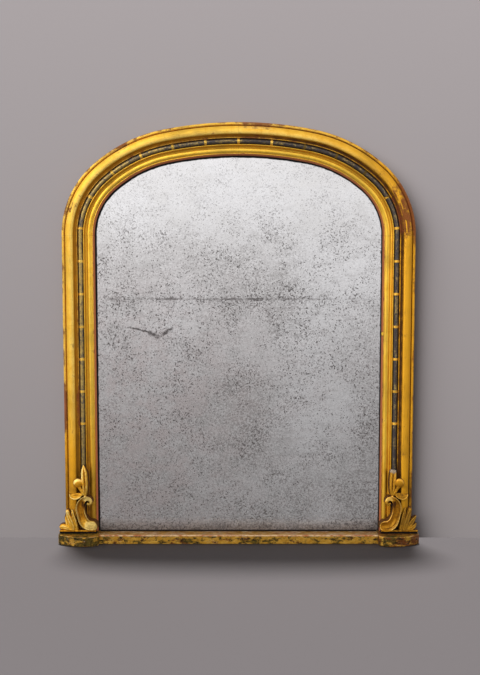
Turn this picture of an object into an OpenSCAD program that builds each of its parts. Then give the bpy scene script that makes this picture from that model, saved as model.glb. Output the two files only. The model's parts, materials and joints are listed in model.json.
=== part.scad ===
// Overmantel mirror: an arched gilt frame on a pine subframe, with a banded reed, a low base rail,
// bowed plinths and a scroll, fan and leaf spray at each foot.
// Millimetres, +Z up. The front faces -Y. The origin is the middle of the outer box, under the base.
// A section is written as [u, d]: u runs in from the moulding's outer edge, d out from the wall.

/* [Arch outline] */
// Half of the width over the moulding's outer edges
half_width = 530; // [480:5:580]
// Height of the springing, where the stiles end and the arch begins
spring_z = 936; // [850:5:1050]
// Rise of the arch from the springing to the top
arch_rise = 335; // [320:1:350]
// Radius of the tight haunch arc
haunch_radius = 277; // [265:1:290]
// Angle that the haunch arc sweeps
haunch_angle = 47.7; // [46:0.1:50]
// Angle that the shoulder arc sweeps, between haunch and crown
shoulder_angle = 31.2; // [29:0.1:33]

/* [Layers from the wall] */
// Thickness of the backboards, which touch the wall
board_t = 7; // [6:0.5:9]
// Thickness of the pine subframe
subframe_t = 20; // [18:0.5:24]
// Thickness of the mirror plate
glass_t = 4; // [3:0.5:5]

/* [Outer moulding] */
// Radius of the bead along the outer edge
edge_bead_r = 5.2; // [4.5:0.1:6]
// Height of that bead's centre above the moulding's back
edge_bead_rise = 16; // [12:0.5:18]
// Width of the quirk beside the bead
quirk_w = 1.4; // [1:0.1:2]
// Depth of the quirk below the bead's centre
quirk_drop = 0.6; // [0.2:0.1:1.5]
// Width of the broad ovolo, from the quirk to its crest
ovolo_w = 17.4; // [15:0.1:20]
// Height that the ovolo climbs to its crest
ovolo_rise = 10; // [8:0.5:12]
// Height of the crest above the moulding's back
crest_h = 35; // [33:0.5:38]
// Radius of the roll past the crest
roll_r = 5; // [4:0.1:6]
// Radius of the cove below the roll
cove_r = 6.9; // [6:0.1:7.5]
// Radius of the small bead at the foot of the cove
foot_bead_r = 1.7; // [1.3:0.1:2]
// Height of the foot bead's centre above the moulding's back
foot_bead_rise = 20; // [19:0.1:21]
// Height of the channel's floor above the moulding's back
channel_floor_h = 11; // [9:0.5:13]

/* [Reed] */
// Radius of the bronzed reed in the channel
reed_r = 7.8; // [7:0.1:8.5]
// Height of the reed's centre above the channel's floor
reed_lift = 3.5; // [2:0.1:5]
// Air between the reed and each wall of the channel
reed_gap = 0.75; // [0.7:0.05:1.5]
// Spacing of the gilt ties along the reed
tie_pitch = 98.5; // [90:0.5:110]
// Width of a tie, measured along the reed
tie_w = 5; // [3:0.5:8]
// Thickness of a tie
tie_t = 0.6; // [0.4:0.05:0.65]

/* [Inner slip] */
// Height of the slip's outer wall above its back
slip_wall_h = 17.5; // [16:0.5:19]
// Radius of the small bead beside the reed
slip_bead_r = 2; // [1.5:0.1:2.5]
// Radius of the slip's cove
slip_cove_r = 6.5; // [6:0.1:7]
// Width of the slip's broad gilt band
slip_band_w = 15.5; // [13:0.5:18]
// Rise of that band in its middle
slip_band_rise = 3; // [2:0.1:4]
// Radius of the thin bead along the band
slip_fillet_r = 1.3; // [1:0.1:1.6]
// Width of the red sight bevel
sight_bevel_w = 4.9; // [4:0.1:6]
// Fall of the red sight bevel
sight_bevel_drop = 2.7; // [2:0.1:3.5]
// Width of the black edge against the glass
black_edge_w = 3; // [2:0.1:4]

/* [Subframe and glass] */
// Set-back of the subframe from the moulding's outer edge
subframe_inset = 3; // [1:0.5:6]
// How far the slip reaches in past the subframe's inner edge
rebate_lap = 12.5; // [10:0.5:15]
// Clearance round the edge of the glass
glass_gap = 1.5; // [1:0.5:3]
// Height of the subframe's bottom rail, which the glass stands on
sill_h = 19; // [16:0.5:22]
// Length of the half-lap joints
lap_len = 60; // [50:1:80]
// Angle round the arch at which haunch and crown boards are lapped together
lap_angle = 58; // [54:1:62]

/* [Backboards] */
// Width of the lowest backboard; the others share the rest of the height equally
board_w = 269; // [255:1:285]
// Gap between neighbouring boards
board_gap = 1; // [0.5:0.5:3]
// Height of the lowest board's bottom edge
board_foot = 4; // [2:1:8]
// How far the boards lap over the subframe
board_lap = 28; // [22:1:34]

/* [Base] */
// Height of the base rail
rail_h = 27; // [25:0.5:32]
// Depth of the base rail in front of the glass
rail_depth = 45; // [42:0.5:50]
// Radius along the rail's top front edge
rail_nose_r = 3; // [1:0.5:5]
// Height of the plinths
plinth_h = 30; // [28:0.5:36]
// Width of a plinth
plinth_w = 125; // [120:1:135]
// How far a plinth stands out past the stile's outer edge
plinth_overhang = 20; // [15:1:30]
// How far the plinth bows out in front of the rail
plinth_bow = 34; // [28:0.5:40]
// How far the plinth's inner corner stands in front of the rail
plinth_return = 16; // [10:0.5:20]
// Distance of the bow's peak from the plinth's inner end
plinth_peak = 35; // [30:1:45]
// Chamfer at the plinth's outer corner
plinth_chamfer = 3; // [1:0.5:5]

/* [Corner ornaments] */
// Front of the scroll and fan above the moulding's back
ornament_h = 50; // [46:0.5:54]
// Height of the ornaments' recessed foot above the plinth
foot_h = 6.5; // [5.5:0.1:7]
// Set-back of that foot behind the slab that it carries
foot_inset = 5; // [4:0.5:7]
// Gap between an ornament and the moulding behind it
seat_gap = 0.25; // [0.2:0.05:0.4]
// Radius of the round bud
bud_r = 15; // [13:0.5:16]
// Height of the left-hand leaf's tip above the plinth
leaf_tip_z = 212; // [208:1:222]
// Height at which the right-hand leaf has lost its tip, above the plinth
leaf_break_z = 196; // [185:1:200]

/* [Hangers] */
// Height of the hinge that each ring hangs from
hanger_z = 820; // [700:5:860]
// Distance of the hangers from the moulding's outer edge
hanger_u = 31; // [25:1:36]
// Radius of the ring's wire
ring_wire_r = 1.6; // [1.4:0.1:1.8]
// Radius of the ring, to the middle of its wire
ring_r = 13.6; // [12:0.2:16]
// Width of the knuckle that holds the ring
knuckle_w = 7; // [6:0.5:8]
// Play of the ring in the knuckle
ring_play = 0.08; // [0.05:0.01:0.1]
// Thickness of the strap's metal
strap_t = 1.2; // [1:0.1:1.4]
// Width of the strap
strap_w = 15; // [13:0.5:18]
// Length of the strap below the hinge
strap_len = 74; // [70:1:90]

/* [Fasteners] */
// Radius of a screw's shank
screw_r = 1.6; // [1.4:0.1:2]
// Radius of a screw's head
screw_head_r = 3.2; // [2.9:0.1:3.6]
// Height of a screw's head
screw_head_h = 1.4; // [1.2:0.1:1.8]
// Length of a screw's shank in the wood
screw_len = 13; // [10:0.5:15]
// Radius of a nail's shank
nail_r = 1.1; // [0.9:0.1:1.4]
// Radius of a nail's head
nail_head_r = 3; // [2.5:0.1:3.5]
// Length of a nail's shank in the subframe
nail_len = 14; // [10:1:16]
// Clearance round the shanks and heads
hole_gap = 0.05; // [0.03:0.01:0.08]

/* [Hidden] */
$fn = 96;

// The five-centred arch: haunch, shoulder and crown arcs meet smoothly, and the crown's top is level
a1 = haunch_angle;
a2 = haunch_angle + shoulder_angle;
arch_m = [[cos(a2) - cos(a1), -cos(a2)], [sin(a2) - sin(a1), 1 - sin(a2)]];
arch_v = [-(half_width - haunch_radius + haunch_radius * cos(a1)), arch_rise - haunch_radius * sin(a1)];
arch_det = arch_m[0][0] * arch_m[1][1] - arch_m[0][1] * arch_m[1][0];
shoulder_radius = (arch_v[0] * arch_m[1][1] - arch_m[0][1] * arch_v[1]) / arch_det;
crown_radius = (arch_m[0][0] * arch_v[1] - arch_m[1][0] * arch_v[0]) / arch_det;
haunch_c = [half_width - haunch_radius, spring_z];
shoulder_c = haunch_c + (haunch_radius - shoulder_radius) * [cos(a1), sin(a1)];
crown_c = [0, spring_z + arch_rise - crown_radius];

// Depths from the wall
subframe_d = board_t;
back_d = board_t + subframe_t;
crest_d = back_d + crest_h;
rail_d = back_d + rail_depth;
total_depth = rail_d + plinth_bow;

// Widths in from the outer edge
quirk_u = 2 * edge_bead_r;
ovolo_u = quirk_u + quirk_w;
crest_u = ovolo_u + ovolo_w;
ovolo_r = (ovolo_w * ovolo_w + ovolo_rise * ovolo_rise) / (2 * ovolo_rise);
roll_angle = 80;
roll_c = [crest_u, crest_d - ovolo_r] + (ovolo_r - roll_r) * [cos(roll_angle), sin(roll_angle)];
cove_u = roll_c[0] + roll_r;
foot_bead_c = [cove_u + cove_r + foot_bead_r, back_d + foot_bead_rise];
cove_lift = 0.5;
channel_u = foot_bead_c[0] + foot_bead_r;
reed_u = channel_u + reed_gap + reed_r;
floor_d = back_d + channel_floor_h;
reed_d = floor_d + reed_lift;
slip_u = reed_u + reed_r + reed_gap;
slip_d = back_d + slip_wall_h;
slip_cove_u = slip_u + 2 * slip_bead_r;
cove_step = 1;
slip_floor_d = slip_d - cove_step - slip_cove_r;
band_u = slip_cove_u + slip_cove_r;
band_r = (slip_band_w * slip_band_w / 4 + slip_band_rise * slip_band_rise) / (2 * slip_band_rise);
fillet_u = band_u + slip_band_w;
bevel_u = fillet_u + 2 * slip_fillet_r;
bevel_step = 0.8;
bevel_d = slip_floor_d - bevel_step;
black_u = bevel_u + sight_bevel_w;
black_d = bevel_d - sight_bevel_drop;
sight_u = black_u + black_edge_w;
subframe_in_u = sight_u - rebate_lap;
glass_u = subframe_in_u + glass_gap;
board_u = subframe_in_u - board_lap;
sight_x = half_width - sight_u;
plinth_in_x = half_width + plinth_overhang - plinth_w;
plinth_out_x = half_width + plinth_overhang;

// The legs of the frame: 0 the stile, then the haunch, shoulder and crown arcs
ARC_C = [undef, haunch_c, shoulder_c, crown_c];
ARC_R = [undef, haunch_radius, shoulder_radius, crown_radius];
ARC_A = [undef, 0, a1, a2, 90];

// ---- Shared geometry ----

// Points along an arc, from one angle to another
function arc(c, r, from, to, n) =
    [for (i = [0:n]) let (a = from + (to - from) * i / n) c + r * [cos(a), sin(a)]];

// The point [x, z] at an angle round the arch, a distance u in from the outer edge
function arch_right(a, u) =
    a <= a1 ? haunch_c + (haunch_radius - u) * [cos(a), sin(a)]
    : a <= a2 ? shoulder_c + (shoulder_radius - u) * [cos(a), sin(a)]
    : crown_c + (crown_radius - u) * [cos(a), sin(a)];
function arch_point(a, u) =
    a <= 90 ? arch_right(a, u) : let (p = arch_right(180 - a, u)) [-p[0], p[1]];

// The outline of a band that follows the arch between two angles
arch_step = 3;
function arch_line(from, to, u) =
    let (n = ceil(abs(to - from) / arch_step))
    [for (i = [0:n]) arch_point(from + (to - from) * i / n, u)];
function arch_band(from, to, outer_u, inner_u) =
    concat(arch_line(from, to, outer_u), arch_line(to, from, inner_u));

// The whole outline of the frame at a distance u in, from a given height up
function frame_outline(u, foot) =
    concat([[half_width - u, foot]], arch_line(0, 180, u), [[u - half_width, foot]]);

// Everything is drawn with the wall at y = 0, then moved so that the box is centred
module placed() translate([0, total_depth / 2, 0]) children();
module handed(side) mirror([side == "left" ? 1 : 0, 0, 0]) children();

// A flat board seen from the front, between two depths from the wall
module board(from_d, to_d, outline)
    translate([0, -from_d, 0]) rotate([90, 0, 0]) linear_extrude(height = to_d - from_d) polygon(outline);

// One run of a section, on the right: straight up the stile, or round one arc
module run(section, leg) {
    if (leg == 0)
        translate([half_width, 0, plinth_h]) linear_extrude(height = spring_z - plinth_h)
            polygon([for (p = section) [-p[0], -p[1]]]);
    else
        translate([ARC_C[leg][0], 0, ARC_C[leg][1]]) rotate([90, 0, 0]) rotate([0, 0, ARC_A[leg]])
            rotate_extrude(angle = ARC_A[leg + 1] - ARC_A[leg], $fn = 180)
                polygon([for (p = section) [ARC_R[leg] - p[0], p[1]]]);
}

// A cylinder whose axis points out from the wall
module peg(x, z, r, from_d, to_d)
    translate([x, -from_d, z]) rotate([90, 0, 0]) cylinder(r = r, h = to_d - from_d);

// ---- Gilt mouldings ----

moulding_section = concat(
    [[0, back_d]],
    arc([edge_bead_r, back_d + edge_bead_rise], edge_bead_r, 180, 25, 8),
    [[quirk_u, back_d + edge_bead_rise - quirk_drop], [ovolo_u, back_d + edge_bead_rise - quirk_drop]],
    arc([crest_u, crest_d - ovolo_r], ovolo_r, 180 - acos(ovolo_w / ovolo_r), roll_angle, 9),
    arc(roll_c, roll_r, roll_angle - 16, 0, 5),
    arc([cove_u + cove_r, foot_bead_c[1] + cove_lift + cove_r], cove_r, 180, 270, 7),
    arc(foot_bead_c, foot_bead_r, 150, 0, 5),
    [[channel_u, floor_d], [slip_u, floor_d], [slip_u, back_d]]);

slip_section = concat(
    [[slip_u, back_d]],
    arc([slip_u + slip_bead_r, slip_d], slip_bead_r, 180, 0, 6),
    arc([band_u, slip_d - cove_step], slip_cove_r, 180, 270, 7),
    arc([band_u + slip_band_w / 2, slip_floor_d + slip_band_rise - band_r], band_r,
        90 + asin(slip_band_w / 2 / band_r) - 6, 90 - asin(slip_band_w / 2 / band_r), 8),
    arc([fillet_u + slip_fillet_r, slip_floor_d], slip_fillet_r, 150, 0, 5),
    [[bevel_u, bevel_d], [black_u, black_d], [sight_u, black_d - black_edge_w], [sight_u, back_d]]);

reed_flat = asin(reed_lift / reed_r);
reed_section = arc([reed_u, reed_d], reed_r, 180 + reed_flat, -reed_flat, 18);

module moulding(leg, side) color("goldenrod") placed() handed(side) run(moulding_section, leg);
module slip(leg, side) color("gold") placed() handed(side) run(slip_section, leg);
module reed(leg, side) color("dimgray") placed() handed(side) run(reed_section, leg);

// The gilt ties stand at equal steps along the reed, counted from the middle of the crown
crown_len = (crown_radius - reed_u) * (90 - a2) * PI / 180;
shoulder_len = (shoulder_radius - reed_u) * shoulder_angle * PI / 180;
haunch_len = (haunch_radius - reed_u) * haunch_angle * PI / 180;
arch_len = crown_len + shoulder_len + haunch_len;
lowest_tie_z = 275;
tie_count = floor((arch_len + spring_z - lowest_tie_z) / tie_pitch);
function reed_angle(s) =
    s <= crown_len ? 90 - s / crown_len * (90 - a2)
    : s <= crown_len + shoulder_len ? a2 - (s - crown_len) / shoulder_len * shoulder_angle
    : s <= arch_len ? a1 - (s - crown_len - shoulder_len) / haunch_len * haunch_angle : 0;
function reed_point(s) =
    s <= arch_len ? arch_point(reed_angle(s), reed_u) : [half_width - reed_u, spring_z + arch_len - s];

// One tie: a half ring over the reed, with its width along the reed
tie_bore = reed_r + hole_gap;
tie_flat = asin(reed_lift / (tie_bore + tie_t));
module tie() translate([0, 0, -tie_w / 2]) rotate([0, 0, 180 - tie_flat])
    rotate_extrude(angle = 180 + 2 * tie_flat) translate([tie_bore, 0]) square([tie_t, tie_w]);
module reed_ties() color("khaki") placed()
    for (side = ["right", "left"]) handed(side)
        for (i = [side == "right" ? 0 : 1 : tie_count]) {
            p = reed_point(i * tie_pitch);
            translate([p[0], -reed_d, p[1]]) rotate([0, -reed_angle(i * tie_pitch), 0]) tie();
        }

// ---- Pine subframe ----

lap_d = subframe_d + subframe_t / 2;
subframe_out_x = half_width - subframe_inset;
subframe_in_x = half_width - subframe_in_u;
lap_half = lap_len / 2 / (shoulder_radius - (subframe_inset + subframe_in_u) / 2) * 180 / PI;
lap_clear = 0.1;

// Screws of the half-laps: [x, z] on the right-hand side
lap_screw_u = [(subframe_in_u - board_lap) * 0.3, (subframe_in_u - board_lap) * 0.78];
lap_screw_points = concat(
    [for (u = lap_screw_u) [half_width - u, sill_h / 2]],
    [for (u = lap_screw_u) [half_width - u, spring_z - lap_len / 2]],
    [for (u = lap_screw_u) arch_point(lap_angle, u)]);

// Nails of the backboards: [x, z] on the right-hand side, then those on the middle line
nail_u = board_u + board_lap / 2;
nail_edge = 30;
board_count = 5;
board_top = spring_z + arch_rise - board_u;
upper_board_w = (board_top - board_foot - board_w) / (board_count - 1);
function board_edge(i) = i == 0 ? board_foot : board_foot + board_w + (i - 1) * upper_board_w;
board_seams = [for (i = [1:board_count - 1]) board_edge(i)];
stile_nail_z = concat([sill_h + nail_edge], [for (s = board_seams) each [s - nail_edge, s + nail_edge]]);
stile_nails = [for (z = stile_nail_z) if (z < spring_z) [half_width - nail_u, z]];
arch_nails = [for (a = [6, 24, 44, 68]) arch_point(a, nail_u)];
sill_nails = [for (share = [0.28, 0.68]) [share * half_width, (board_foot + sill_h) / 2]];
side_nails = concat(stile_nails, arch_nails, sill_nails);
top_nail = arch_point(90, nail_u);

hanger_x = half_width - hanger_u;
hanger_screw_pitch = 15;
hanger_screw_z = [for (i = [0:2]) hanger_z - 2 * ring_r - ring_wire_r - 8 - i * hanger_screw_pitch];

tip_gap = 0.5;
module shank_hole(p, r, to_d) peg(p[0], p[1], r + hole_gap, subframe_d - 1, to_d);
module both_sides() { children(); mirror([1, 0, 0]) children(); }
module subframe_holes() both_sides() {
    for (p = side_nails) shank_hole(p, nail_r, subframe_d + nail_len);
    for (p = lap_screw_points) {
        shank_hole(p, screw_r, subframe_d + screw_len);
        peg(p[0], p[1], screw_head_r + hole_gap, subframe_d - 1, subframe_d + screw_head_h);
    }
}

// The sill's rear half passes behind the stiles' front half
module subframe_sill() color("tan") placed() difference() {
    translate([-plinth_out_x + subframe_inset, -back_d, 0])
        cube([2 * (plinth_out_x - subframe_inset), subframe_t, sill_h]);
    both_sides() translate([subframe_in_x - lap_clear, -back_d - 1, -1])
        cube([subframe_out_x - subframe_in_x + 2 * lap_clear, back_d + 1 - lap_d, sill_h + 2]);
    subframe_holes();
}

module subframe_stile(side) color("burlywood") placed() handed(side) difference() {
    translate([subframe_in_x, -back_d, 0]) cube([subframe_out_x - subframe_in_x, subframe_t, spring_z]);
    translate([subframe_in_x - 1, -lap_d, -1])
        cube([subframe_out_x - subframe_in_x + 2, subframe_t, sill_h + 1 + lap_clear]);
    translate([subframe_in_x - 1, -lap_d, spring_z - lap_len - lap_clear])
        cube([subframe_out_x - subframe_in_x + 2, subframe_t, lap_len + 1 + lap_clear]);
    subframe_holes();
    for (z = hanger_screw_z) shank_hole([hanger_x, z], screw_r, subframe_d + screw_len - strap_t);
}

// The haunch's rear half reaches down behind the stile, and its front half ends at the lap on the crown
module subframe_haunch(side) color("tan") placed() handed(side) difference() {
    union() {
        board(subframe_d, back_d, arch_band(0, lap_angle + lap_half, subframe_inset, subframe_in_u));
        translate([subframe_in_x, -lap_d, spring_z - lap_len])
            cube([subframe_out_x - subframe_in_x, lap_d - subframe_d, lap_len]);
    }
    board(lap_d, back_d + 1,
        arch_band(lap_angle - lap_half, lap_angle + lap_half + 2, subframe_inset - 1, subframe_in_u + 1));
    subframe_holes();
}

module subframe_crown() color("burlywood") placed() difference() {
    board(subframe_d, back_d,
        arch_band(lap_angle - lap_half, 180 - lap_angle + lap_half, subframe_inset, subframe_in_u));
    both_sides() board(subframe_d - 1, lap_d, arch_band(
        lap_angle - lap_half - 2, lap_angle + lap_half + lap_clear / 2,
        subframe_inset - 1, subframe_in_u + 1));
    subframe_holes();
    shank_hole(top_nail, nail_r, subframe_d + nail_len);
}

// ---- Glass, its blocks and the backboards ----

module mirror_plate() color("silver") placed()
    board(back_d - glass_t, back_d, frame_outline(glass_u, sill_h + glass_gap));

// Pine blocks glued behind the glass, against the subframe's inner edge
block_w = 10;
block_len = 44;
block_back_gap = 1;
stile_block_z = [120, 380, 640, spring_z - 60];
sill_block_x = 260;
arch_block_angles = [24, 64];
module block(len) translate([-block_w, -back_d + glass_t, -len / 2])
    cube([block_w, subframe_t - glass_t - block_back_gap, len]);
block_gap = 0.4;
function block_inset(r) = block_gap + r - sqrt(r * r - block_len * block_len / 4);
module glazing_blocks() color("wheat") placed() {
    both_sides() {
        for (z = stile_block_z) translate([subframe_in_x, 0, z]) block(block_len);
        for (i = [0:1]) {
            a = arch_block_angles[i];
            r = (i == 0 ? haunch_radius : shoulder_radius) - subframe_in_u;
            p = arch_point(a, subframe_in_u + block_inset(r));
            translate([p[0], 0, p[1]]) rotate([0, -a, 0]) block(block_len);
        }
        translate([sill_block_x, 0, sill_h]) rotate([0, 90, 0]) block(block_len);
    }
    crown_p = arch_point(90, subframe_in_u + block_inset(crown_radius - subframe_in_u));
    translate([0, 0, crown_p[1]]) rotate([0, -90, 0]) block(block_len);
}

// Horizontal boards, numbered from the bottom, clipped to the arch
module backboard(i) color(i % 2 == 0 ? "peru" : "sandybrown") placed() {
    low = board_edge(i) + (i == 0 ? 0 : board_gap / 2);
    high = board_edge(i + 1) + (i == board_count - 1 ? 1 : -board_gap / 2);
    difference() {
        intersection() {
            board(0, board_t, frame_outline(board_u, board_foot));
            translate([-half_width, -board_t - 1, low]) cube([2 * half_width, board_t + 2, high - low]);
        }
        both_sides() for (p = side_nails) nail_hole(p);
        nail_hole(top_nail);
    }
}
nail_head_t = 1;
module nail_hole(p) {
    peg(p[0], p[1], nail_r + hole_gap, -1, board_t + 1);
    peg(p[0], p[1], nail_head_r + hole_gap, -1, nail_head_t);
}
module nail(p) {
    peg(p[0], p[1], nail_head_r, 0, nail_head_t);
    peg(p[0], p[1], nail_r, nail_head_t / 2, board_t + nail_len - 1);
}
module backboard_nails() color("dimgray") placed() {
    both_sides() for (p = side_nails) nail(p);
    nail(top_nail);
}

// ---- Base rail and plinths ----

module base_rail() color("darkgoldenrod") placed()
    translate([-plinth_in_x, 0, 0]) rotate([90, 0, 90]) linear_extrude(height = 2 * plinth_in_x)
        polygon(concat(
            [[-back_d, 0], [-rail_d, 0]],
            arc([rail_nose_r - rail_d, rail_h - rail_nose_r], rail_nose_r, 180, 90, 5),
            [[-back_d, rail_h]]));

// Seen from above: square at the back, with a bow made of two arcs that meet at its peak
peak_x = plinth_in_x + plinth_peak;
peak_d = rail_d + plinth_bow;
bow_drop = plinth_bow - plinth_return;
inner_bow_r = (plinth_peak * plinth_peak + bow_drop * bow_drop) / (2 * bow_drop);
outer_run = plinth_w - plinth_peak;
outer_bow_r = (outer_run * outer_run + plinth_bow * plinth_bow) / (2 * plinth_bow);
plinth_outline = concat(
    [[plinth_in_x, back_d]],
    arc([peak_x, peak_d - inner_bow_r], inner_bow_r, 180 - acos(plinth_peak / inner_bow_r), 90, 10),
    [for (p = arc([peak_x, peak_d - outer_bow_r], outer_bow_r, 90, acos(outer_run / outer_bow_r), 14))
        if (p[0] > peak_x && p[0] < plinth_out_x - plinth_chamfer) p],
    [[plinth_out_x - plinth_chamfer, rail_d + plinth_chamfer / 2], [plinth_out_x, rail_d - plinth_chamfer],
     [plinth_out_x, back_d]]);
module plinth(side) color("darkkhaki") placed() handed(side)
    linear_extrude(height = plinth_h) polygon([for (p = plinth_outline) [p[0], -p[1]]]);

// ---- Corner ornaments ----
// Drawn for the right-hand foot. A place is [x, z]: x out from the sight edge, z up from the plinth.

ornament_d = back_d + ornament_h;
crown_joint_z = 118;
spray_foot_x = 46;
fan_joint_x = 57;
slab_front = ornament_d - 9;
foot_front = slab_front - foot_inset;
module ornament(side) placed() handed(side) translate([sight_x, 0, plinth_h]) difference() {
    union() children();
    translate([-sight_x, 0, -plinth_h]) moulding_envelope();
    translate([-1, -ornament_d - 1, -1]) cube([plinth_w, ornament_d + 1 - foot_front, foot_h + 1]);
}

// What the ornaments are laid on: the stile's sections, grown by the seat's gap
module moulding_envelope()
    translate([half_width, 0, 0]) linear_extrude(height = spring_z) offset(delta = seat_gap) {
        polygon([for (p = moulding_section) [-p[0], -p[1]]]);
        polygon([for (p = slip_section) [-p[0], -p[1]]]);
        translate([-slip_u, -reed_d]) square([slip_u - channel_u, reed_d - floor_d]);
        translate([-reed_u, -reed_d]) circle(r = reed_r);
    }

// A closed skin over rings of equal length, flat at both ends
module loft(rings) {
    m = len(rings[0]);
    n = len(rings);
    polyhedron(
        points = [for (r = rings) each r],
        faces = concat(
            [[for (i = [0:m - 1]) i], [for (i = [m - 1:-1:0]) (n - 1) * m + i]],
            [for (j = [0:n - 2], i = [0:m - 1]) each [
                [j * m + i, (j + 1) * m + i, (j + 1) * m + (i + 1) % m],
                [j * m + i, (j + 1) * m + (i + 1) % m, j * m + (i + 1) % m]]]));
}

// A smooth value through a list of stations
function blend(p, q, r, s, t) =
    0.5 * (2 * q + (r - p) * t + (2 * p - 5 * q + 4 * r - s) * t * t + (3 * q - p - 3 * r + s) * t * t * t);
function station(list, k, t) =
    let (n = len(list) - 1)
    blend(list[max(k - 1, 0)], list[k], list[min(k + 1, n)], list[min(k + 2, n)], t);
function smooth(list, steps) = concat(
    [for (k = [0:len(list) - 2], i = [0:steps - 1]) station(list, k, i / steps)], [list[len(list) - 1]]);

// A ribbon through stations [x, z, half width, front, carving]. Its section is a list of
// [across, share of the front where it is plain, share of the front where it is fully carved].
module ribbon(stations, section, back, steps = 4) {
    line = smooth(stations, steps);
    last = len(line) - 1;
    loft([for (i = [0:last])
        let (s = line[i], before = line[max(i - 1, 0)], after = line[min(i + 1, last)],
            ahead = [after[0] - before[0], after[1] - before[1]],
            side = [-ahead[1], ahead[0]] / norm(ahead) * s[2])
        concat(
            [for (p = section)
                [s[0] + side[0] * p[0],
                 -back - (s[3] - back) * (p[1] + (p[2] - p[1]) * s[4]),
                 s[1] + side[1] * p[0]]],
            [[s[0] - side[0], -back, s[1] - side[1]], [s[0] + side[0], -back, s[1] + side[1]]])]);
}

// A tapering roll through beads of [x, z, radius, depth of the centre]
module roll(beads)
    for (i = [0:len(beads) - 2]) hull() for (b = [beads[i], beads[i + 1]])
        translate([b[0], -b[3], b[1]]) sphere(r = b[2], $fn = 12);

// The slab under an ornament, on a foot set back so that a dark line shows above the plinth
slab_back = back_d + edge_bead_rise;
slab_t = 5;
slab_corner = 5;
module slab(joint_x, end_x) {
    from_x = min(joint_x, end_x);
    length = abs(end_x - joint_x);
    inward = end_x > joint_x ? -slab_corner : slab_corner;
    translate([from_x, -foot_front, 0]) cube([length, foot_front - slab_back, foot_h + 1]);
    hull() {
        translate([from_x, -slab_back - 1, foot_h]) cube([length, 1, slab_t]);
        translate([joint_x - (inward > 0 ? 1 : 0), -slab_front, foot_h]) cube([1, 1, slab_t]);
        translate([end_x + inward, slab_corner - slab_front, foot_h])
            cylinder(r1 = slab_corner - 1, r2 = slab_corner, h = slab_t, $fn = 24);
    }
}

// Sections, from the outer or upper edge across. The scroll's is a hollow between two rims, the shell's
// has one rim below its hollow, the leaf's has a vein, and the lobe's is a rib with a shallow groove.
scroll_band = [
    [1, 0.62, 0.8], [0.97, 0.72, 0.96], [0.9, 0.82, 1], [0.8, 0.88, 0.95], [0.62, 0.94, 0.8],
    [0.3, 0.99, 0.7], [-0.05, 1, 0.68], [-0.4, 0.97, 0.72], [-0.7, 0.9, 0.84], [-0.84, 0.82, 0.97],
    [-0.93, 0.74, 0.98], [-1, 0.6, 0.8]];
shell = [
    [1, 0.5, 0.54], [0.8, 0.64, 0.6], [0.45, 0.82, 0.62], [0.05, 0.94, 0.66], [-0.35, 0.98, 0.78],
    [-0.62, 0.92, 0.93], [-0.8, 0.82, 1], [-0.93, 0.68, 0.94], [-1, 0.5, 0.7]];
leaf_blade = [
    [1, 0.64, 0.76], [0.86, 0.82, 0.91], [0.5, 0.94, 1], [0.16, 0.98, 0.94], [0, 0.98, 0.84],
    [-0.16, 0.98, 0.94], [-0.5, 0.94, 1], [-0.86, 0.82, 0.91], [-1, 0.64, 0.76]];
lobe_rib = [
    [1, 0.5, 0.45], [0.85, 0.76, 0.74], [0.5, 0.94, 0.97], [0.15, 1, 0.96], [-0.15, 1, 0.94],
    [-0.5, 0.94, 0.96], [-0.85, 0.76, 0.74], [-1, 0.5, 0.45]];

// The C-scroll: a volute round a sunk eye at its top, a hollow band, and a foot that turns up like a
// spoon, which is shallow on the left-hand side
module scroll(side) color("gold") ornament(side) difference() {
    foot_hollow = side == "left" ? 0.3 : 1;
    union() {
        ribbon([[33, 94.5, 3.2, ornament_d - 8, 0.2], [26, 91, 4.6, ornament_d - 7, 0.2],
                [20.6, 98, 5.8, ornament_d - 5, 0.2], [25, 106.4, 6.6, ornament_d - 4, 0.3],
                [34.5, 109, 7.2, ornament_d - 3.4, 0.4], [44.5, 104, 9, ornament_d - 2.8, 0.7],
                [51.5, 93.5, 11, ornament_d - 2.2, 0.95], [52.6, 79, 13.4, ornament_d - 1.6, 1],
                [50, 64, 13.4, ornament_d - 1, 1], [46, 50, 14.4, ornament_d - 0.6, 1],
                [40, 36.8, 15.8, ornament_d, (1 + foot_hollow) / 2],
                [30.5, 27.8, 16.6, ornament_d, foot_hollow], [20.5, 24.8, 16.6, ornament_d, foot_hollow],
                [12.5, 25, 15.8, ornament_d - 0.4, 0.9 * foot_hollow],
                [6.5, 25.8, 13, ornament_d - 1.2, 0.6 * foot_hollow], [2.8, 26.6, 8, ornament_d - 4, 0.2],
                [1.4, 27, 3, ornament_d - 8, 0]], scroll_band, back_d + 4, 3);
        translate([28, 26 - ornament_d, 98.6]) sphere(r = 8, $fn = 24);
        roll([[38.6, 110, 5, ornament_d - 15], [38.4, 116, 5, ornament_d - 14]]);
        slab(fan_joint_x, 5);
    }
    translate([0, -ornament_d - 5, crown_joint_z]) cube([100, ornament_d, 20]);
}

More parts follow.
